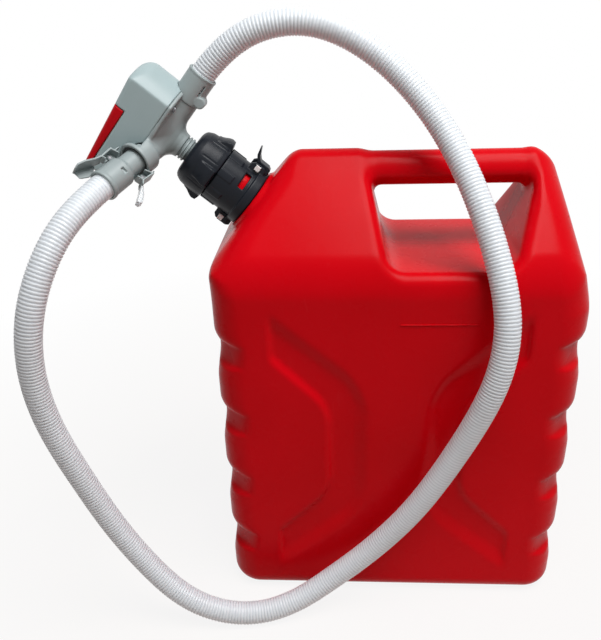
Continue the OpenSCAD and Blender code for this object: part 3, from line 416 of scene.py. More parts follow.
hose = {
    "points": [  # metres, the same route as the solid's
        (-0.1330, -0.0020, 0.5640), (-0.0870, -0.0030, 0.5730), (-0.0470, -0.0040, 0.5610),
        (-0.0110, -0.0090, 0.5370), (0.0180, -0.0200, 0.5080), (0.0410, -0.0370, 0.4770),
        (0.0580, -0.0580, 0.4450), (0.0720, -0.0790, 0.4100), (0.0830, -0.0970, 0.3740),
        (0.0900, -0.1120, 0.3350), (0.0850, -0.1180, 0.2920), (0.0730, -0.1160, 0.2520),
        (0.0580, -0.1120, 0.2130), (0.0400, -0.1100, 0.1740), (0.0200, -0.1090, 0.1370),
        (-0.0040, -0.1070, 0.1020), (-0.0320, -0.1070, 0.0700), (-0.0640, -0.1100, 0.0420),
        (-0.0980, -0.1190, 0.0190), (-0.1390, -0.1290, 0.0090), (-0.1820, -0.1330, 0.0170),
        (-0.2180, -0.1320, 0.0400), (-0.2450, -0.1280, 0.0730), (-0.2660, -0.1280, 0.1100),
        (-0.2820, -0.1300, 0.1490), (-0.2940, -0.1340, 0.1900), (-0.3050, -0.1390, 0.2300),
        (-0.3120, -0.1440, 0.2720), (-0.3130, -0.1470, 0.3130), (-0.3060, -0.1480, 0.3570),
        (-0.2940, -0.1380, 0.3950), (-0.2770, -0.1150, 0.4290),
    ],
    "outer": 11.4, "groove": 10.65, "bore": 9.0, "pitch": 3.1, "sides": 28,
}


def splineLine(control, perSpan):
    # weights of the uniform cubic B-spline, one row per step, with the end points mirrored
    c = np.vstack([2 * control[0] - control[1], control, 2 * control[-1] - control[-2]])
    t = np.linspace(0, len(control) - 1, (len(control) - 1) * perSpan + 1)
    k = np.minimum(t.astype(int), len(control) - 2)
    f = (t - k)[:, None]
    a, b, d, e = c[k], c[k + 1], c[k + 2], c[k + 3]
    near = (1 - f) ** 3 * a + (3 * f**3 - 6 * f**2 + 4) * b
    far = (-3 * f**3 + 3 * f**2 + 3 * f + 1) * d + f**3 * e
    return (near + far) / 6


def tubeGrid(line, radii, sides):
    # rings square to the line, set out from the y axis, or from x where the line runs along y:
    # point = line + r (u cos a + w sin a)
    tangent = np.gradient(line, axis=0)
    tangent /= np.linalg.norm(tangent, axis=1)[:, None]
    u = np.cross(tangent, np.where(np.abs(tangent[:, 1:2]) > 0.9, [[1.0, 0, 0]], [[0, 1.0, 0]]))
    u /= np.linalg.norm(u, axis=1)[:, None]
    w = np.cross(tangent, u)
    a = np.linspace(0, 2 * np.pi, sides, endpoint=False)
    r = np.asarray(radii)[:, None, None]
    return line[:, None] + r * (u[:, None] * np.cos(a)[None, :, None] + w[:, None] * np.sin(a)[None, :, None])


def makeHose(h):
    start = [fromNeck([50.0 + d, 0, outletZ]) for d in (0, 13, 26)]
    end = [fromHolster([0, 0, 27.0 + d]) for d in (26, 13, 0)]
    control = np.vstack([start, np.array(h["points"]) / mm, end])
    fine = splineLine(control, 40)
    chord = np.concatenate([[0], np.cumsum(np.linalg.norm(np.diff(fine, axis=0), axis=1))])
    length = chord[-1]
    ribs = int(round(length / h["pitch"]))
    steps = np.arange(ribs * 4 + 1) / (ribs * 4)
    shape = np.array([0.0, 0.85, 1.0, 0.85])[np.arange(ribs * 4 + 1) % 4]  # groove, shoulder, crest, shoulder
    line = np.stack([np.interp(steps * length, chord, fine[:, k]) for k in range(3)], -1)
    outside = tubeGrid(line, h["groove"] + (h["outer"] - h["groove"]) * shape, h["sides"])
    back = np.linspace(1, 0, ribs + 1)
    inLine = np.stack([np.interp(back * length, chord, fine[:, k]) for k in range(3)], -1)
    inside = tubeGrid(inLine, np.full(ribs + 1, h["bore"]), h["sides"])
    # the bore's frame runs backwards, so its rings are turned to match
    inside = inside[:, (-np.arange(h["sides"])) % h["sides"]]
    verts = np.concatenate([outside, inside]).reshape(-1, 3)
    quads = ringQuads(len(line) + len(inLine), h["sides"])
    mesh = toMesh("deliveryHose", verts, quads)
    # the rib profile goes to the finish, which uses it for painted shade in the grooves
    rib = np.concatenate([np.repeat(shape, h["sides"]), np.zeros(len(inLine) * h["sides"])])
    mesh.attributes.new("rib", "FLOAT", "POINT").data.foreach_set("value", rib.astype(np.float32))
    obj = piece("deliveryHose", mesh, "can", "hose_clear", finishes["hose_clear"], "delivery_hose")
    path = fine[::8] * mm
    print("hose length", round(length, 1), "mm,", ribs, "ribs")


makeHose(hose)

# can: one blow-moulded skin, with the hand hole, the bar and the round boss blended in

can = {
    "halfW": 171.5, "halfD": 85.0, "height": 461.5, "baseR": 20.0, "cornerR": 30.0,
    "leanZ": 332.0, "leanIn": 33.5, "roofLean": 40.0, "ridgeR": 16.0, "bendR": 70.0,
    "notchZ": 73.0, "notchPitch": 74.3, "notchDepth": 4.6, "notchCorner": 11.0,
    "channelZ": 185.5, "channelDepth": 4.4, "lipR": 9.0, "barR": 17.0, "barZ": 445.0,
    "holeZ": 369.0, "holeX": (-9.0, 98.0), "holeEnd": 119.0, "holeR": 14.0, "step": 2.6,
}


def notchShape(z, places, levels, blur):
    # depth of the scallops over height: straight falls and rises between the given places, softened
    table = np.arange(-60.0, 40.0, 0.25)
    raw = np.interp(table, places, levels)
    kernel = np.exp(-0.5 * (np.arange(-24, 25) * 0.25 / blur) ** 2)
    raw = np.convolve(raw, kernel / kernel.sum(), "same")
    best = np.zeros_like(z)
    for k in range(4):
        best = np.maximum(best, np.interp(z - can["notchZ"] - k * can["notchPitch"], table, raw))
    return best


def channelDepth(x, z):
    # a C-shaped channel: between an outer line and an inner field, each a 45 degree arm bent round to upright
    q, x = np.abs(z - can["channelZ"]), -np.abs(x)
    outer = softMax(x + 26.0, 0.652 * (x + 114.5) + 0.759 * (q - 149.0), 26.0)
    inner = softMax(x + 64.5, (q + x + 14.5) * 0.7071, 12.0)
    side = -116.5 - x
    return smoothStep(2.0, -16.0, outer) * smoothStep(-3.0, 5.0, inner) * smoothStep(2.5, -3.5, side)


def canField(p):
    # the largest of the distances to the walls, the neck's slope and the two roofs, rounded where they meet,
    # with the ribs and channels taken off the walls, less the hand hole round the bar, plus the neck's boss
    c = can
    x, y, z = p[:, 0], p[:, 1], p[:, 2]
    ax, ay = np.abs(x), np.abs(y)
    side = notchShape(z, (-35, -6, 3, 13), (0, 1, 1, 0), 2.5)
    pocket = notchShape(z, (-30, -22.5, -18, -10, 3, 9), (0, 0.06, 0.92, 1, 1, 0), 0.8)
    cosT, sinT = math.cos(math.radians(neckTilt)), math.sin(math.radians(neckTilt))
    slopeAt = neckAt - 3.0 * neckTurn[:, 2]
    slope = -cosT * (x - slopeAt[0]) + sinT * (z - slopeAt[2])
    run = math.hypot(c["height"] - c["leanZ"], c["leanIn"])
    leanN = ((c["height"] - c["leanZ"]) / run, c["leanIn"] / run)
    lean = leanN[0] * (x - c["halfW"]) + leanN[1] * (z - c["leanZ"])
    cut = c["notchDepth"] * side
    left, right = -x - c["halfW"] + cut, x - c["halfW"] + cut
    f = softMax(slope, left, edgeR(24.0, cosT))
    f = np.maximum(f, softMax(right, lean, edgeR(150.0, leanN[0])))
    lo = math.radians(c["roofLean"])
    apex = c["height"] + c["ridgeR"] * (1 / math.sin(lo) - 1)
    roofF = -y * math.cos(lo) + (z - apex) * math.sin(lo)
    roofB = y * math.cos(lo) + (z - apex) * math.sin(lo)
    panel = c["channelDepth"] * channelDepth(x, z)
    front = softMax(-y - c["halfD"] + panel, roofF, edgeR(c["bendR"], math.cos(lo)))
    back = softMax(y - c["halfD"] + panel, roofB, edgeR(c["bendR"], math.cos(lo)))
    g = softMax(front, back, edgeR(c["ridgeR"], -math.cos(2 * lo)))
    # the upper corners are tight where the slope meets the ridge
    upper = np.where(x > 0, 24.0, 15.0 - 9.0 * smoothStep(30.0, 8.0, ay))
    radius = c["cornerR"] + (upper - c["cornerR"]) * smoothStep(330.0, 420.0, z)
    f = softMax(f, g, radius)
    corner = (ax - c["halfW"] + ay - c["halfD"] + 2 * c["cornerR"]) * 0.70711
    f = softMax(f, corner - c["cornerR"] - 4.0 + c["notchCorner"] * pocket, 4.0)
    f = softMax(f, -z, c["baseR"])
    rise = z - c["holeZ"]
    leftWall = (-(x - c["holeX"][0]) * 60.0 - rise * 14.0) / math.hypot(60, 14)
    rightWall = ((x - c["holeX"][1]) * 60.0 - rise * 21.0) / math.hypot(60, 21)
    hole = softMax(-rise, leftWall, c["holeR"])
    hole = softMax(hole, softMax(rightWall, x - c["holeEnd"], 1.2), c["holeR"])
    bar = np.hypot(y, z - c["barZ"]) - c["barR"]
    f = softMax(f, -softMax(hole, -bar, 9.0), c["lipR"])
    q = (p - neckAt) @ neckTurn
    boss = softMax(np.hypot(q[:, 0], q[:, 1]) - 31.0, np.maximum(q[:, 2], -q[:, 2] - 14.0), 1.5)
    return softMin(f, boss, 3.0)


def makeCan(c):
    lo, hi = (-175, -88, -4), (175, 88, 468)
    verts, quads = skin(canField, lo, hi, c["step"])
    neck, ring = lathe([
        (22.8, -6), (22.8, 20.6), (22.4, 21.6), (21.4, 22),
        (19.6, 22), (18.8, 21.6), (18.5, 20.8), (18.5, -6),
    ])
    ring = ring + len(verts)
    mesh = toMesh("canShell", np.concatenate([verts, fromNeck(neck)]), np.concatenate([quads, ring]))
    piece("canShell", mesh, "can", "can_red", finishes["can_red"], "can_body")


makeCan(can)

# fill mark: a thin raised line on the front
fillMark = {"x": (1.0, 70.0), "z": (323.3, 324.3), "y": (-85.8, -84.0), "edge": 0.35, "step": 0.3}

# pump: moulded pieces in the neck's frame, millimetres, with z out along the neck


def polyDist(u, v, points):
    # distance to a closed outline, negative inside: nearest of its sides, with the sign from the crossings
    p = np.asarray(points, float)
    best = np.full(u.shape, 1e9)
    inside = np.zeros(u.shape, bool)
    for a, b in zip(p, np.roll(p, -1, 0)):
        e = b - a
        t = np.clip(((u - a[0]) * e[0] + (v - a[1]) * e[1]) / (e @ e), 0, 1)
        best = np.minimum(best, np.hypot(u - a[0] - t * e[0], v - a[1] - t * e[1]))
        if a[1] != b[1]:
            inside ^= ((a[1] > v) != (b[1] > v)) & (u < a[0] + (v - a[1]) * e[0] / e[1])
    return np.where(inside, -best, best)


def slab(p, points, lo, hi, r):
    # an outline in x and z, carried along y from lo to hi, with all its edges rounded by r
    d = polyDist(p[:, 0], p[:, 2], points) + r
    w = np.abs(p[:, 1] - (lo + hi) / 2) - (hi - lo) / 2 + r
    return np.minimum(np.maximum(d, w), 0) + np.hypot(np.maximum(d, 0), np.maximum(w, 0)) - r


def rod(p, axis, at, r, lo, hi, edge=0.5):
    # a cylinder along one axis through a point, with rounded ends
    a, b = [k for k in range(3) if k != axis]
    d = np.hypot(p[:, a] - at[0], p[:, b] - at[1]) - r
    return softMax(d, np.abs(p[:, axis] - (lo + hi) / 2) - (hi - lo) / 2, edge)


def moulding(name, field, lo, hi, step, place, body, slot, *replaced):
    verts, quads = skin(field, lo, hi, step)
    mesh = toMesh(name, place(verts), quads)
    return piece(name, mesh, body, slot, finishes[slot], *replaced)


def fillMarkField(p):
    # a thin bar, half sunk in the front wall
    (x0, x1), (z0, z1), (y0, y1) = fillMark["x"], fillMark["z"], fillMark["y"]
    return slab(p, [(x0, z0), (x1, z0), (x1, z1), (x0, z1)], y0, y1, fillMark["edge"])


moulding("fillMark", fillMarkField, (0, -87, 322.3), (71, -83, 325.3), fillMark["step"], np.asarray, "can",
         "can_red")


# outlet sleeve: a short collar with a rim, a slit and a cross nub under it
sleeve = {
    "low": 36.7, "high": 64.0, "r": 13.2, "seat": 49.6, "hole": 11.7, "nub": (43.4, 87.6, 5.0),
    "slitX": (47.0, 58.0), "slitTurn": -127.0, "room": 13.5, "step": 0.7,
}

base = {
    "funnel": (
        (70, 11.6), (78, 11.6), (82, 12.4), (86, 14.2), (91, 18.4), (96, 23.6), (100, 28.4), (103, 31),
        (110, 31)),
    "bores": (((0, 0), 17.5, 92.6, 108.0), ((0, 0), 7.0, 76.0, 92.0), ((0, 0), 10.2, 76.0, 84.7)),
    "armR": 12.2, "armX": 36.7, "holsterR": 16.0, "holsterBore": 13.3, "tipBore": 10.8, "ring": 4.0,
    "blend": 5.0, "step": 0.9,
}

head = {
    "halfD": 32.0, "low": 106.0, "top": 143.81, "rise": 0.0826, "endX": 3.4, "endR": 41.3, "tailX": 41.9,
    "tailR": 104.9, "edge": 4.5, "endEdge": 12.5, "wall": 2.2, "coverX": 2.6, "coverZ": 133.4, "gap": 0.45,
    "shelfZ": 121.6, "shelfHalf": 1.0, "buttonX": 16.6, "buttonR": 6.3, "buttonZ": 136.0,
    "posts": ((-46, 24), (-46, -24), (28, 21), (28, -21)), "step": 0.9,
}


def headPlan(p, i):
    # straight sides between a short arc at the outlet end and a long one at the tail
    h = head
    ends = np.hypot(np.maximum(p[:, 0] - h["endX"], 0), p[:, 1]) - h["endR"]
    plan = softMax(np.abs(p[:, 1]) - h["halfD"], ends, 0.6)
    return softMax(plan, np.hypot(p[:, 0] - h["tailX"], p[:, 1]) - h["tailR"], 1.5) + i


def headForm(p, i):
    # the plan, closed by a top that rises towards the outlet; the edge between is rounder at the outlet's end
    h = head
    top = (p[:, 2] - h["top"] - h["rise"] * p[:, 0]) * 0.9966 + i
    edge = h["edge"] + (h["endEdge"] - h["edge"]) * smoothStep(26.0, 42.0, p[:, 0])
    return softMax(headPlan(p, i), top, edge - i)


def housingField(p):
    # the head's form less the same form drawn in by the wall, plus the shelf, the cross wall and the posts,
    # less the cover's place, the button's hole and the room for the holster and the sleeve
    h = head
    x, y, z = p.T
    f = softMax(headForm(p, 0), h["low"] - z, 0.25)
    f = softMax(f, -headForm(p, h["wall"]), 0.3)
    half = h["shelfHalf"]
    shelf = np.maximum(np.maximum(headForm(p, 1.7), np.abs(z - h["shelfZ"]) - half), x - h["coverX"])
    wall = np.maximum(headForm(p, 2.7), np.abs(x - h["coverX"] + half) - half)
    wall = np.maximum(wall, h["shelfZ"] - half - z)
    f = np.minimum(f, np.minimum(shelf, wall))
    for px, py in h["posts"]:
        postTop = h["shelfZ"] - 0.5 if px < 0 else 117.0
        f = np.minimum(f, rod(p, 2, (px, py), 3.6, h["low"] + 0.2, postTop, 0.3))
        f = np.maximum(f, 1.6 - np.hypot(x - px, y - py) - 5.0 * np.maximum(z - 116.5, 0))
    f = softMax(f, -np.maximum(x - h["coverX"] + 2.0, h["coverZ"] - z), 0.3)
    lap = np.maximum(np.maximum(x - h["coverX"], h["coverZ"] - z), -headForm(p, 2.7))
    f = softMax(f, -lap, 0.3)
    button = h["buttonR"] - np.hypot(x - h["buttonX"], y)
    f = softMax(f, button - 5.0 * np.maximum(h["buttonZ"] - z, 0), 0.5)
    q = toHolster(p)
    f = softMax(f, -rod(q, 2, (0, 0), base["holsterR"] + 0.4, -base["ring"] - 0.4, 40.0, 0.3), 0.4)
    f = softMax(f, -rod(q, 2, (0, 0), base["tipBore"], -13.4, 40.0, 0.3), 0.4)
    return softMax(f, -rod(p, 0, (0, outletZ), sleeve["room"], sleeve["low"], 90.0, 0.2), 0.6)


def coverField(p):
    # the head's wall over the cells, cut off a gap short of the housing
    h = head
    f = softMax(headForm(p, 0), -headForm(p, h["wall"]), 0.3)
    f = softMax(f, p[:, 0] - h["coverX"] + h["gap"], 0.5)
    return softMax(f, h["coverZ"] + h["gap"] - p[:, 2], 0.5)


def makeHead(h):
    lo, hi = (-65, -34, 104.5), (46.5, 34, 149)
    moulding("headHousing", housingField, lo, hi, h["step"], fromNeck, "can", "pump_grey", "head_housing")
    moulding("batteryCover", coverField, (-65, -34, 132), (4.5, 34, 146), h["step"], fromNeck, "cover",
             "cover_red", "battery_cover")


def baseField(p):
    # a turned funnel, the outlet arm, the holster and a tray, joined with fillets, less the bores and the
    # screw holes
    b = base
    x, y, z = p.T
    places, radii = zip(*b["funnel"])
    funnel = (np.hypot(x, y) - np.interp(z, places, radii)) * 0.72
    funnel = softMax(funnel, np.maximum(78.0 - z, z - 106.0), 0.8)
    f = softMin(funnel, rod(p, 0, (0, outletZ), b["armR"], -4.0, b["armX"], 0.6), b["blend"])
    q = toHolster(p)
    f = softMin(f, rod(q, 2, (0, 0), 12.5, -42.0, -10.0, 0.6), b["blend"])
    f = softMin(f, rod(q, 2, (0, 0), b["holsterR"], -16.0, -1.0, 3.0), 4.0)
    tray = softMax(headPlan(p, 0.15), np.abs(z - 104.25) - 1.75, 1.6)
    f = softMax(softMin(f, tray, 2.5), z - 106.0, 0.25)
    f = softMin(f, rod(q, 2, (0, 0), b["holsterR"], -b["ring"], 0.0, 0.8), 0.6)
    f = softMax(f, -rod(q, 2, (0, 0), b["tipBore"], -13.0, 6.0, 0.2), 0.3)
    f = softMax(f, -rod(q, 2, (0, 0), b["holsterBore"], -b["ring"], 6.0, 0.4), 0.6)
    for at, r, lo, hi in b["bores"]:
        f = np.maximum(f, -rod(p, 2, at, r, lo, hi, 0.2))
    for px, py in head["posts"]:
        f = np.maximum(f, -rod(p, 2, (px, py), 1.7, 100.0, 108.0, 0.1))
        f = np.maximum(f, -rod(p, 2, (px, py), 3.3, 99.0, 102.5, 0.1))
    f = np.maximum(f, -rod(p, 0, (0, outletZ), sleeve["room"], b["armX"], 90.0, 0.2))
    return np.maximum(f, -rod(p, 0, (0, outletZ), 5.0, 14.5, 50.0, 0.2))


def makeBase(b):
    moulding("pumpBase", baseField, (-65, -62, 76), (47, 34, 122.0), b["step"], fromNeck, "can",
             "pump_grey_dark", "pump_base")


def sleeveField(p):
    # a rod with a rim, a spigot and a cross nub, less the hose's seat, the passage and the slit
    s = sleeve
    x, y, z = p.T
    f = rod(p, 0, (0, outletZ), s["r"], s["low"], s["high"], 0.7)
    f = softMin(f, rod(p, 0, (0, outletZ), s["r"] + 0.35, s["high"] - 1.8, s["high"], 0.5), 0.5)
    f = np.minimum(f, rod(p, 0, (0, outletZ), 4.9, s["low"] - 7.0, s["low"] + 2.0, 0.3))
    f = softMin(f, rod(p, 1, s["nub"][:2], s["nub"][2], -11.0, 3.0, 1.0), 1.6)
    f = softMax(f, -rod(p, 0, (0, outletZ), s["hole"], s["seat"], 70.0, 0.3), 0.4)
    f = np.maximum(f, -rod(p, 0, (0, outletZ), 3.5, 28.0, 70.0, 0.2))
    a = math.radians(s["slitTurn"])
    out = y * math.sin(a) + (z - outletZ) * math.cos(a)
    across = y * math.cos(a) - (z - outletZ) * math.sin(a)
    lo, hi = s["slitX"]
    slit = np.maximum(np.maximum(np.abs(across) - 0.8, 12.1 - out), np.abs(x - (lo + hi) / 2) - (hi - lo) / 2)
    return softMax(f, -slit, 0.3)


# suction stub: a plain tube with two rings, drawn as its own profile turned round the neck's axis
stub = [
    (10.0, -34), (10.0, 71.4), (10.4, 71.7), (11.3, 71.9), (11.6, 72.3), (11.6, 73.3), (11.3, 73.6),
    (10.3, 73.9), (10.3, 74.7), (11.3, 74.9), (11.6, 75.3), (11.6, 76.3), (11.3, 76.6), (10.3, 76.9),
    (10.0, 77.3), (10.0, 84.5),
    (7.0, 84.5), (7.0, -32), (5.9, -32), (5.9, -50), (7.5, -50), (7.5, -34),
]

# adapter: collar, nut, levers

adapter = {
    "r": 26.0, "foot": 0.4, "high": 40.0, "flangeR": 28.5, "flangeZ": 9.4, "spigotR": 20.5, "spigotZ": 58.0,
    "ear": [(23, 5), (31, 5), (33, 8), (33, 17), (30, 20), (23, 20)], "earY": 6.2, "earT": 3.3,
    "pivot": (29.5, 13.0), "pinR": 2.0, "step": 0.8,
}


def collarField(p):
    # rods stacked along the neck, with ribs and ears added, less the socket, the bores, the sight slot,
    # the levers' wells and the pins' bores
    a = adapter
    x, y, z = p.T
    r = np.hypot(x, y)
    angle = np.arctan2(y, x)
    f = rod(p, 2, (0, 0), a["r"], a["foot"], a["high"], 1.0)
    f = softMin(f, rod(p, 2, (0, 0), a["flangeR"], a["foot"], a["flangeZ"], 1.2), 0.8)
    f = np.minimum(f, rod(p, 2, (0, 0), a["spigotR"], 0.0, a["spigotZ"], 0.6))
    rib = np.abs((angle / (np.pi / 4)) % 1.0 - 0.5) * (np.pi / 4) * r
    f = softMin(f, softMax(rib - 4.0, np.maximum(r - 26.8, np.maximum(25.0 - z, z - 40.0)), 0.5), 0.4)
    mirrored = np.stack([np.abs(x), np.abs(y), z], -1)
    f = softMin(f, slab(mirrored, a["ear"], a["earY"], a["earY"] + a["earT"], 0.7), 0.8)
    f = np.maximum(f, -rod(p, 2, (0, 0), 23.2, -2.0, 24.0, 0.2))
    f = np.maximum(f, -rod(p, 2, (0, 0), 10.6, 20.0, 62.0, 0.2))
    f = np.maximum(f, -rod(p, 2, (0, 0), 15.0, 51.0, 62.0, 0.2))
    turned = p @ turnZ(-52.0)
    slot = np.maximum(np.maximum(np.abs(turned[:, 1]) - 8.0, np.abs(z - 15.75) - 2.75), 20.0 - turned[:, 0])
    f = softMax(f, -slot, 0.5)
    well = np.maximum(np.maximum(26.15 - np.abs(x), np.abs(y) - a["earY"]), z - 11.4)
    f = softMax(f, -well, 0.4)
    pin = np.hypot(np.abs(x) - a["pivot"][0], z - a["pivot"][1]) - a["pinR"]
    return np.maximum(f, -pin)


lever = {
    "arm": [(26.8, 2), (33, 2), (35, 5), (35, 14.5), (32.6, 16.4), (29.5, 16), (26.8, 13)],
    "fin": [(34.4, 13.5), (39, 17.6), (45.6, 20.8), (45.2, 22), (38.5, 20.4), (32.6, 16.4)],
    "halfW": 5.9, "r": 0.55, "step": 0.45,
}


def leverField(fin):
    # an outlined arm, its hub and, where asked, a fin, less the pin's bore
    def field(p):
        v = lever
        pivotX, pivotZ = adapter["pivot"]
        f = slab(p, v["arm"], -v["halfW"], v["halfW"], v["r"])
        f = softMin(f, rod(p, 1, adapter["pivot"], 3.1, -v["halfW"], v["halfW"], 0.4), 0.4)
        if fin:
            f = softMin(f, slab(p, v["fin"], -v["halfW"], v["halfW"], 0.5), 0.8)
        return np.maximum(f, adapter["pinR"] - np.hypot(p[:, 0] - pivotX, p[:, 2] - pivotZ))
    return field


def nutGrid(sides=288):
    # radius = the plain profile, plus four lobes that fade round the nut and up its height
    profile = [
        (21.1, 40.4), (27.2, 40.4), (27.9, 41.0), (28.2, 43.0), (28.5, 45.4), (28.3, 49.0), (28.0, 53.0),
        (27.8, 56.2), (27.7, 57.4), (27.4, 60.0), (27.0, 62.4), (26.0, 64.6), (24.6, 67.2), (22.6, 68.8),
        (20.4, 69.6), (18.0, 70.0), (11.4, 70.0), (10.7, 69.6), (10.6, 69.0), (10.6, 57.8),
        (14.4, 57.8), (14.4, 60.5), (21.1, 60.5),
    ]
    p = np.array(profile)
    dense = [p[0]]
    for a, b in zip(p, np.roll(p, -1, 0)):
        n = max(1, int(np.hypot(*(b - a)) / 0.8))
        dense += [a + (b - a) * k / n for k in range(1, n + 1)]
    p = np.array(dense[:-1])
    a = np.linspace(0, 2 * np.pi, sides, endpoint=False)
    # millimetres round the nut from the middle of the nearest lobe
    off = np.abs((a / (np.pi / 2) + 0.5) % 1.0 - 0.5) * (np.pi / 2) * 28.5
    lobe = smoothStep(9.4, 7.6, off)
    line = smoothStep(0.9, 0.3, np.abs(off - 14.0))  # two thin grooves between the lobes
    z, r = p[:, 1:2], p[:, :1]
    up = smoothStep(40.2, 42.0, z) * (1 - 0.80 * smoothStep(45.0, 56.4, z)) * (z < 57.3)
    flute = smoothStep(43.0, 44.5, z) * smoothStep(60.0, 58.5, z)
    radius = r + (4.8 * up * lobe[None] - 0.45 * flute * line[None]) * (r > 26.5)
    grid = np.stack([radius * np.cos(a), radius * np.sin(a), np.repeat(z, sides, 1)], -1)
    return grid.reshape(-1, 3), ringQuads(len(p), sides)


def makeAdapter():
    a = adapter
    moulding("adapterCollar", collarField, (-35, -31, -1.5), (35, 31, 60), a["step"], fromNeck, "can",
             "adapter_black", "adapter_collar")
    lo, hi = (24.5, -7, 0.5), (47, 7, 24)
    moulding("leverUpper", leverField(True), lo, hi, lever["step"], fromNeck, "lever_upper", "adapter_black",
             "cam_lever_upper")
    moulding("leverLower", leverField(False), lo, hi, lever["step"], lambda p: fromNeck(p * (-1, -1, 1)),
             "lever_lower", "adapter_black", "cam_lever_lower")
    verts, quads = nutGrid()
    piece("glandNut", toMesh("glandNut", fromNeck(verts), quads), "gland_nut", "adapter_black",
          finishes["adapter_black"], "gland_nut")
    verts, quads = lathe(stub)
    piece("suctionStub", toMesh("suctionStub", fromNeck(verts), quads), "can", "pump_grey_dark",
          finishes["pump_grey_dark"], "suction_stub")


# nozzle and its two latches, in the holster's frame with z out along the nozzle

nozzle = {
    "seat": 27.0, "hole": 11.7, "latchX": 15.2,
    "left": 15.4, "right": 6.0, "pinR": 1.55, "step": 0.6,
    "leftCheek": [(-8, 10.4), (-13, 11.4), (-16.6, 13), (-16.6, 17.4), (-13, 19.4), (-8, 20.4)],
    "rightCheek": [(8, 1), (13, 3), (16.4, 4.2), (16.4, 7.8), (13, 9.5), (8, 12)],
}

# each latch is an open box of thin walls round its pin: outlines in x and z from the pin, with the two y ends
latch = {
    "left": (
        ([(-3.6, -4.6), (-2.9, 8.4), (-4.5, 15.4), (-8, 23.6), (-9.4, 30.5), (-8.8, 33.6), (-10, 34.2),
          (-11, 30.5), (-9.6, 23.2), (-6.1, 15), (-4.5, 8.4), (-5.2, -4.6)], -7.0, 6.5),
        ([(-10.2, 31.5), (-9, 34.2), (-6.3, 35), (-3.6, 33), (0.8, 24), (-0.3, 18), (-3.3, 13), (-4.9, 14.6),
          (-8.4, 23.4)], -8.4, -6.8),
        ([(-3.6, -4.6), (3, -7.3), (2.6, -4), (1, 0.5), (0.4, 6.3), (-2.9, 7.7)], -3.0, -1.6),
        ([(-3.6, -3.2), (-3.6, -4.6), (3, -7.3), (3.2, -6.1)], -3.0, 6.5),
        ([(-3, 9), (-2.9, 7.7), (0.2, 6.3), (0.4, 7.4)], -3.0, 6.5),
        ([(-3.4, -4.6), (-1.8, -5.2), (-1.7, -14.8), (-2.9, -14.8)], -3.0, 0.5),
    ),
    "right": (
        ([(3.4, -7.3), (2.2, 5.8), (5, 9.2), (6.4, 8.2), (3.8, 5.4), (5, -7.3)], -6.5, 6.5),
        ([(3.4, -6.8), (2.2, 5.1), (-2.8, 6.2), (-2.8, -3.5)], -3.0, -1.6),
        ([(3.4, -5.5), (3.4, -6.8), (-2.8, -3.5), (-2.8, -2.2)], -3.0, 6.5),
        ([(2.3, 6.4), (2.2, 5.1), (-2.8, 6.2), (-2.8, 7.4)], -3.0, 6.5),
        ([(3.4, -6), (2, -6), (1.6, -13), (3, -13)], -3.0, 0.5),
    ),
    "tip": [(5, 9.2), (6.4, 8.2), (12.7, 14.5), (17, 21.5), (15.8, 24), (13, 24.2), (8, 14.5)],
    "edge": 0.35,
}


def nozzleField(p):
    # a turned profile with a rim and two cheeks, less the pins' bores, the passage, the hose's seat and the
    # notch
    n = nozzle
    x, y, z = p.T
    r = np.hypot(x, y)
    places, radii = (-20, 13.6, 14.6, 15.6, 16.6, 17.4, 60), (10.4, 10.4, 11.0, 11.9, 12.7, 13.2, 13.2)
    f = softMax((r - np.interp(z, places, radii)) * 0.8, np.abs(z - 14.5) - 26.5, 0.7)
    f = softMin(f, rod(p, 2, (0, 0), 13.8, 37.6, 41.0, 0.6), 0.8)
    for side, at, cheek in ((-1, n["left"], n["leftCheek"]), (1, n["right"], n["rightCheek"])):
        f = softMin(f, slab(p, cheek, -6.5, -4.3, 0.4), 0.6)
        f = np.maximum(f, n["pinR"] - np.hypot(x - side * n["latchX"], z - at))
    f = np.maximum(f, -rod(p, 2, (0, 0), 7.9, -20, 60, 0.2))
    f = softMax(f, -rod(p, 2, (0, 0), n["hole"], n["seat"], 60, 0.3), 0.4)
    notch = np.maximum(np.maximum(np.abs(x - 3.2) - 2.6, np.abs(z - 22.6) - 1.5), 10.9 - y)
    return softMax(f, -notch, 0.4)


def latchForm(p, at, parts):
    # the flat pieces and the hub joined with small fillets, less the pin's bore
    q = p - np.array((at[0], 0.0, at[1]))
    f = rod(q, 1, (0, 0), 2.2, -3.0, 0.5, 0.3)
    for outline, lo, hi in parts:
        f = softMin(f, slab(q, outline, lo, hi, latch["edge"]), 0.35)
    return np.maximum(f, nozzle["pinR"] - np.hypot(q[:, 0], q[:, 2]))


def leftLatchField(p):
    # the box of walls, with the corners of its long end rounded off
    n = nozzle
    f = latchForm(p, (-n["latchX"], n["left"]), latch["left"])
    rounded = softMax(np.abs(p[:, 1] + 0.9) - 7.5, p[:, 2] - n["left"] - 35.0, 7.0)
    return softMax(f, rounded, 0.3)


def rightLatchField(p):
    return latchForm(p, (nozzle["latchX"], nozzle["right"]), latch["right"])


def tipField(p):
    # a thin outlined plate
    q = p - np.array((nozzle["latchX"], 0.0, nozzle["right"]))
    return slab(q, latch["tip"], -4.0, 4.0, 0.6)


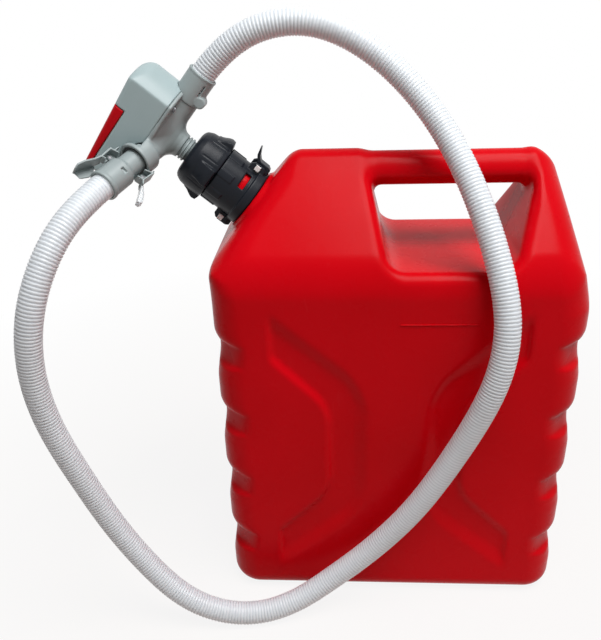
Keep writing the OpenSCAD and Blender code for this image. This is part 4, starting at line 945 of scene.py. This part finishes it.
def makeNozzle(n):
    moulding("outletSleeve", sleeveField, (28, -16, 79), (66, 16, 115), sleeve["step"], fromNeck, "can",
             "pump_grey_dark", "outlet_coupling")
    moulding("nozzleBody", nozzleField, (-23, -15, -13.5), (21, 15, 42.5), n["step"], fromHolster, "can",
             "pump_grey_dark", "nozzle_body")
    moulding("latchLeft", leftLatchField, (-27.5, -9.5, -0.5), (-11, 7.5, 52), 0.42, fromHolster,
             "latch_left", "pump_grey_dark", "latch_lever_left")
    moulding("latchRight", rightLatchField, (11.5, -7.5, -8), (22.5, 7.5, 16), 0.4, fromHolster,
             "latch_right", "pump_grey_dark", "latch_lever_right")
    moulding("latchTip", tipField, (19.2, -5, 13), (33.2, 5, 31.2), 0.45, fromHolster, "latch_right",
             "tip_clear", "latch_tip")


makeHead(head)
makeBase(base)
makeAdapter()
makeNozzle(nozzle)

# studio

studio = {
    "floor": (0.62, 0.52, 0.47), "floorShade": (0.58, 0.49, 0.44), "reach": 9000, "glow": 0.88,
    "key": 35.0, "fill": 0.3, "sky": 0.18,
}


def makeStudio(s):
    floorMat = Finish("paleFloor", Roughness=0.9)
    floorMat.set({"Base Color": floorMat.blend(
        floorMat.noise(3.0) * 0.02, rgb(*s["floor"]), rgb(*s["floorShade"]))})
    rays = floorMat.add("ShaderNodeLightPath", None, None, "Is Camera Ray")
    shine = floorMat.add("ShaderNodeLightPath", None, None, "Is Glossy Ray")
    through = floorMat.add("ShaderNodeLightPath", None, None, "Is Transmission Ray")
    glow = floorMat.add("ShaderNodeEmission", None, {"Color": rgb(1, 1, 1), "Strength": 1.0})
    reach = floorMat.add("ShaderNodeVectorMath", {"operation": "LENGTH"}, {0: floorMat.object}, 1)
    seen = (rays + shine + through).smaller(1.0) * floorMat.ramp(reach, 0.35, 0.95, s["glow"], 1.0)
    mixed = floorMat.add("ShaderNodeMixShader", None, {
        0: seen, 1: Wire(floorMat, floorMat.shader.outputs[0]), 2: glow})
    output = next(n for n in floorMat.tree.nodes if n.type == "OUTPUT_MATERIAL")
    floorMat.tree.links.new(mixed.socket, output.inputs["Surface"])
    w = s["reach"]
    floor = toMesh("paleFloor", [(-w, -w, 0), (w, -w, 0), (w, w, 0), (-w, w, 0)], [[0, 1, 2, 3]])
    obj = bpy.data.objects.new("paleFloor", floor)
    scene.collection.objects.link(obj)
    floor.materials.append(floorMat.material)
    world = bpy.data.worlds.new("studioWorld")
    world.use_nodes = True
    scene.world = world
    tree = world.node_tree
    ground = tree.nodes["Background"]
    path = tree.nodes.new("ShaderNodeLightPath")
    ground.inputs["Color"].default_value = rgb(1, 1, 1)
    strength = tree.nodes.new("ShaderNodeMapRange")
    strength.inputs["To Min"].default_value = s["sky"]
    strength.inputs["To Max"].default_value = 1.0
    lit = path.outputs["Is Camera Ray"]
    # reflections and the clear tip show the pale sky too
    for kind in ("Is Glossy Ray", "Is Transmission Ray"):
        either = tree.nodes.new("ShaderNodeMath")
        tree.links.new(lit, either.inputs[0])
        tree.links.new(path.outputs[kind], either.inputs[1])
        lit = either.outputs[0]
    tree.links.new(lit, strength.inputs["Value"])
    tree.links.new(strength.outputs[0], ground.inputs["Strength"])


def softLamp(name, place, aim, size, power):
    lamp = bpy.data.lights.new(name, "AREA")
    lamp.shape, lamp.size, lamp.size_y, lamp.energy = "RECTANGLE", size[0], size[1], power
    obj = bpy.data.objects.new(name, lamp)
    scene.collection.objects.link(obj)
    obj.location = place
    obj.rotation_euler = (Vector(aim) - Vector(place)).to_track_quat("-Z", "Y").to_euler()


makeStudio(studio)
softLamp("overheadLamp", (0.40, -0.50, 1.85), (0, 0, 0.2), (1.1, 0.9), studio["key"])
softLamp("frontLamp", (0.6, -1.9, 1.1), (0, 0, 0.25), (1.0, 1.0), studio["fill"])

scene.view_settings.view_transform = "Standard"
print("scene ready")
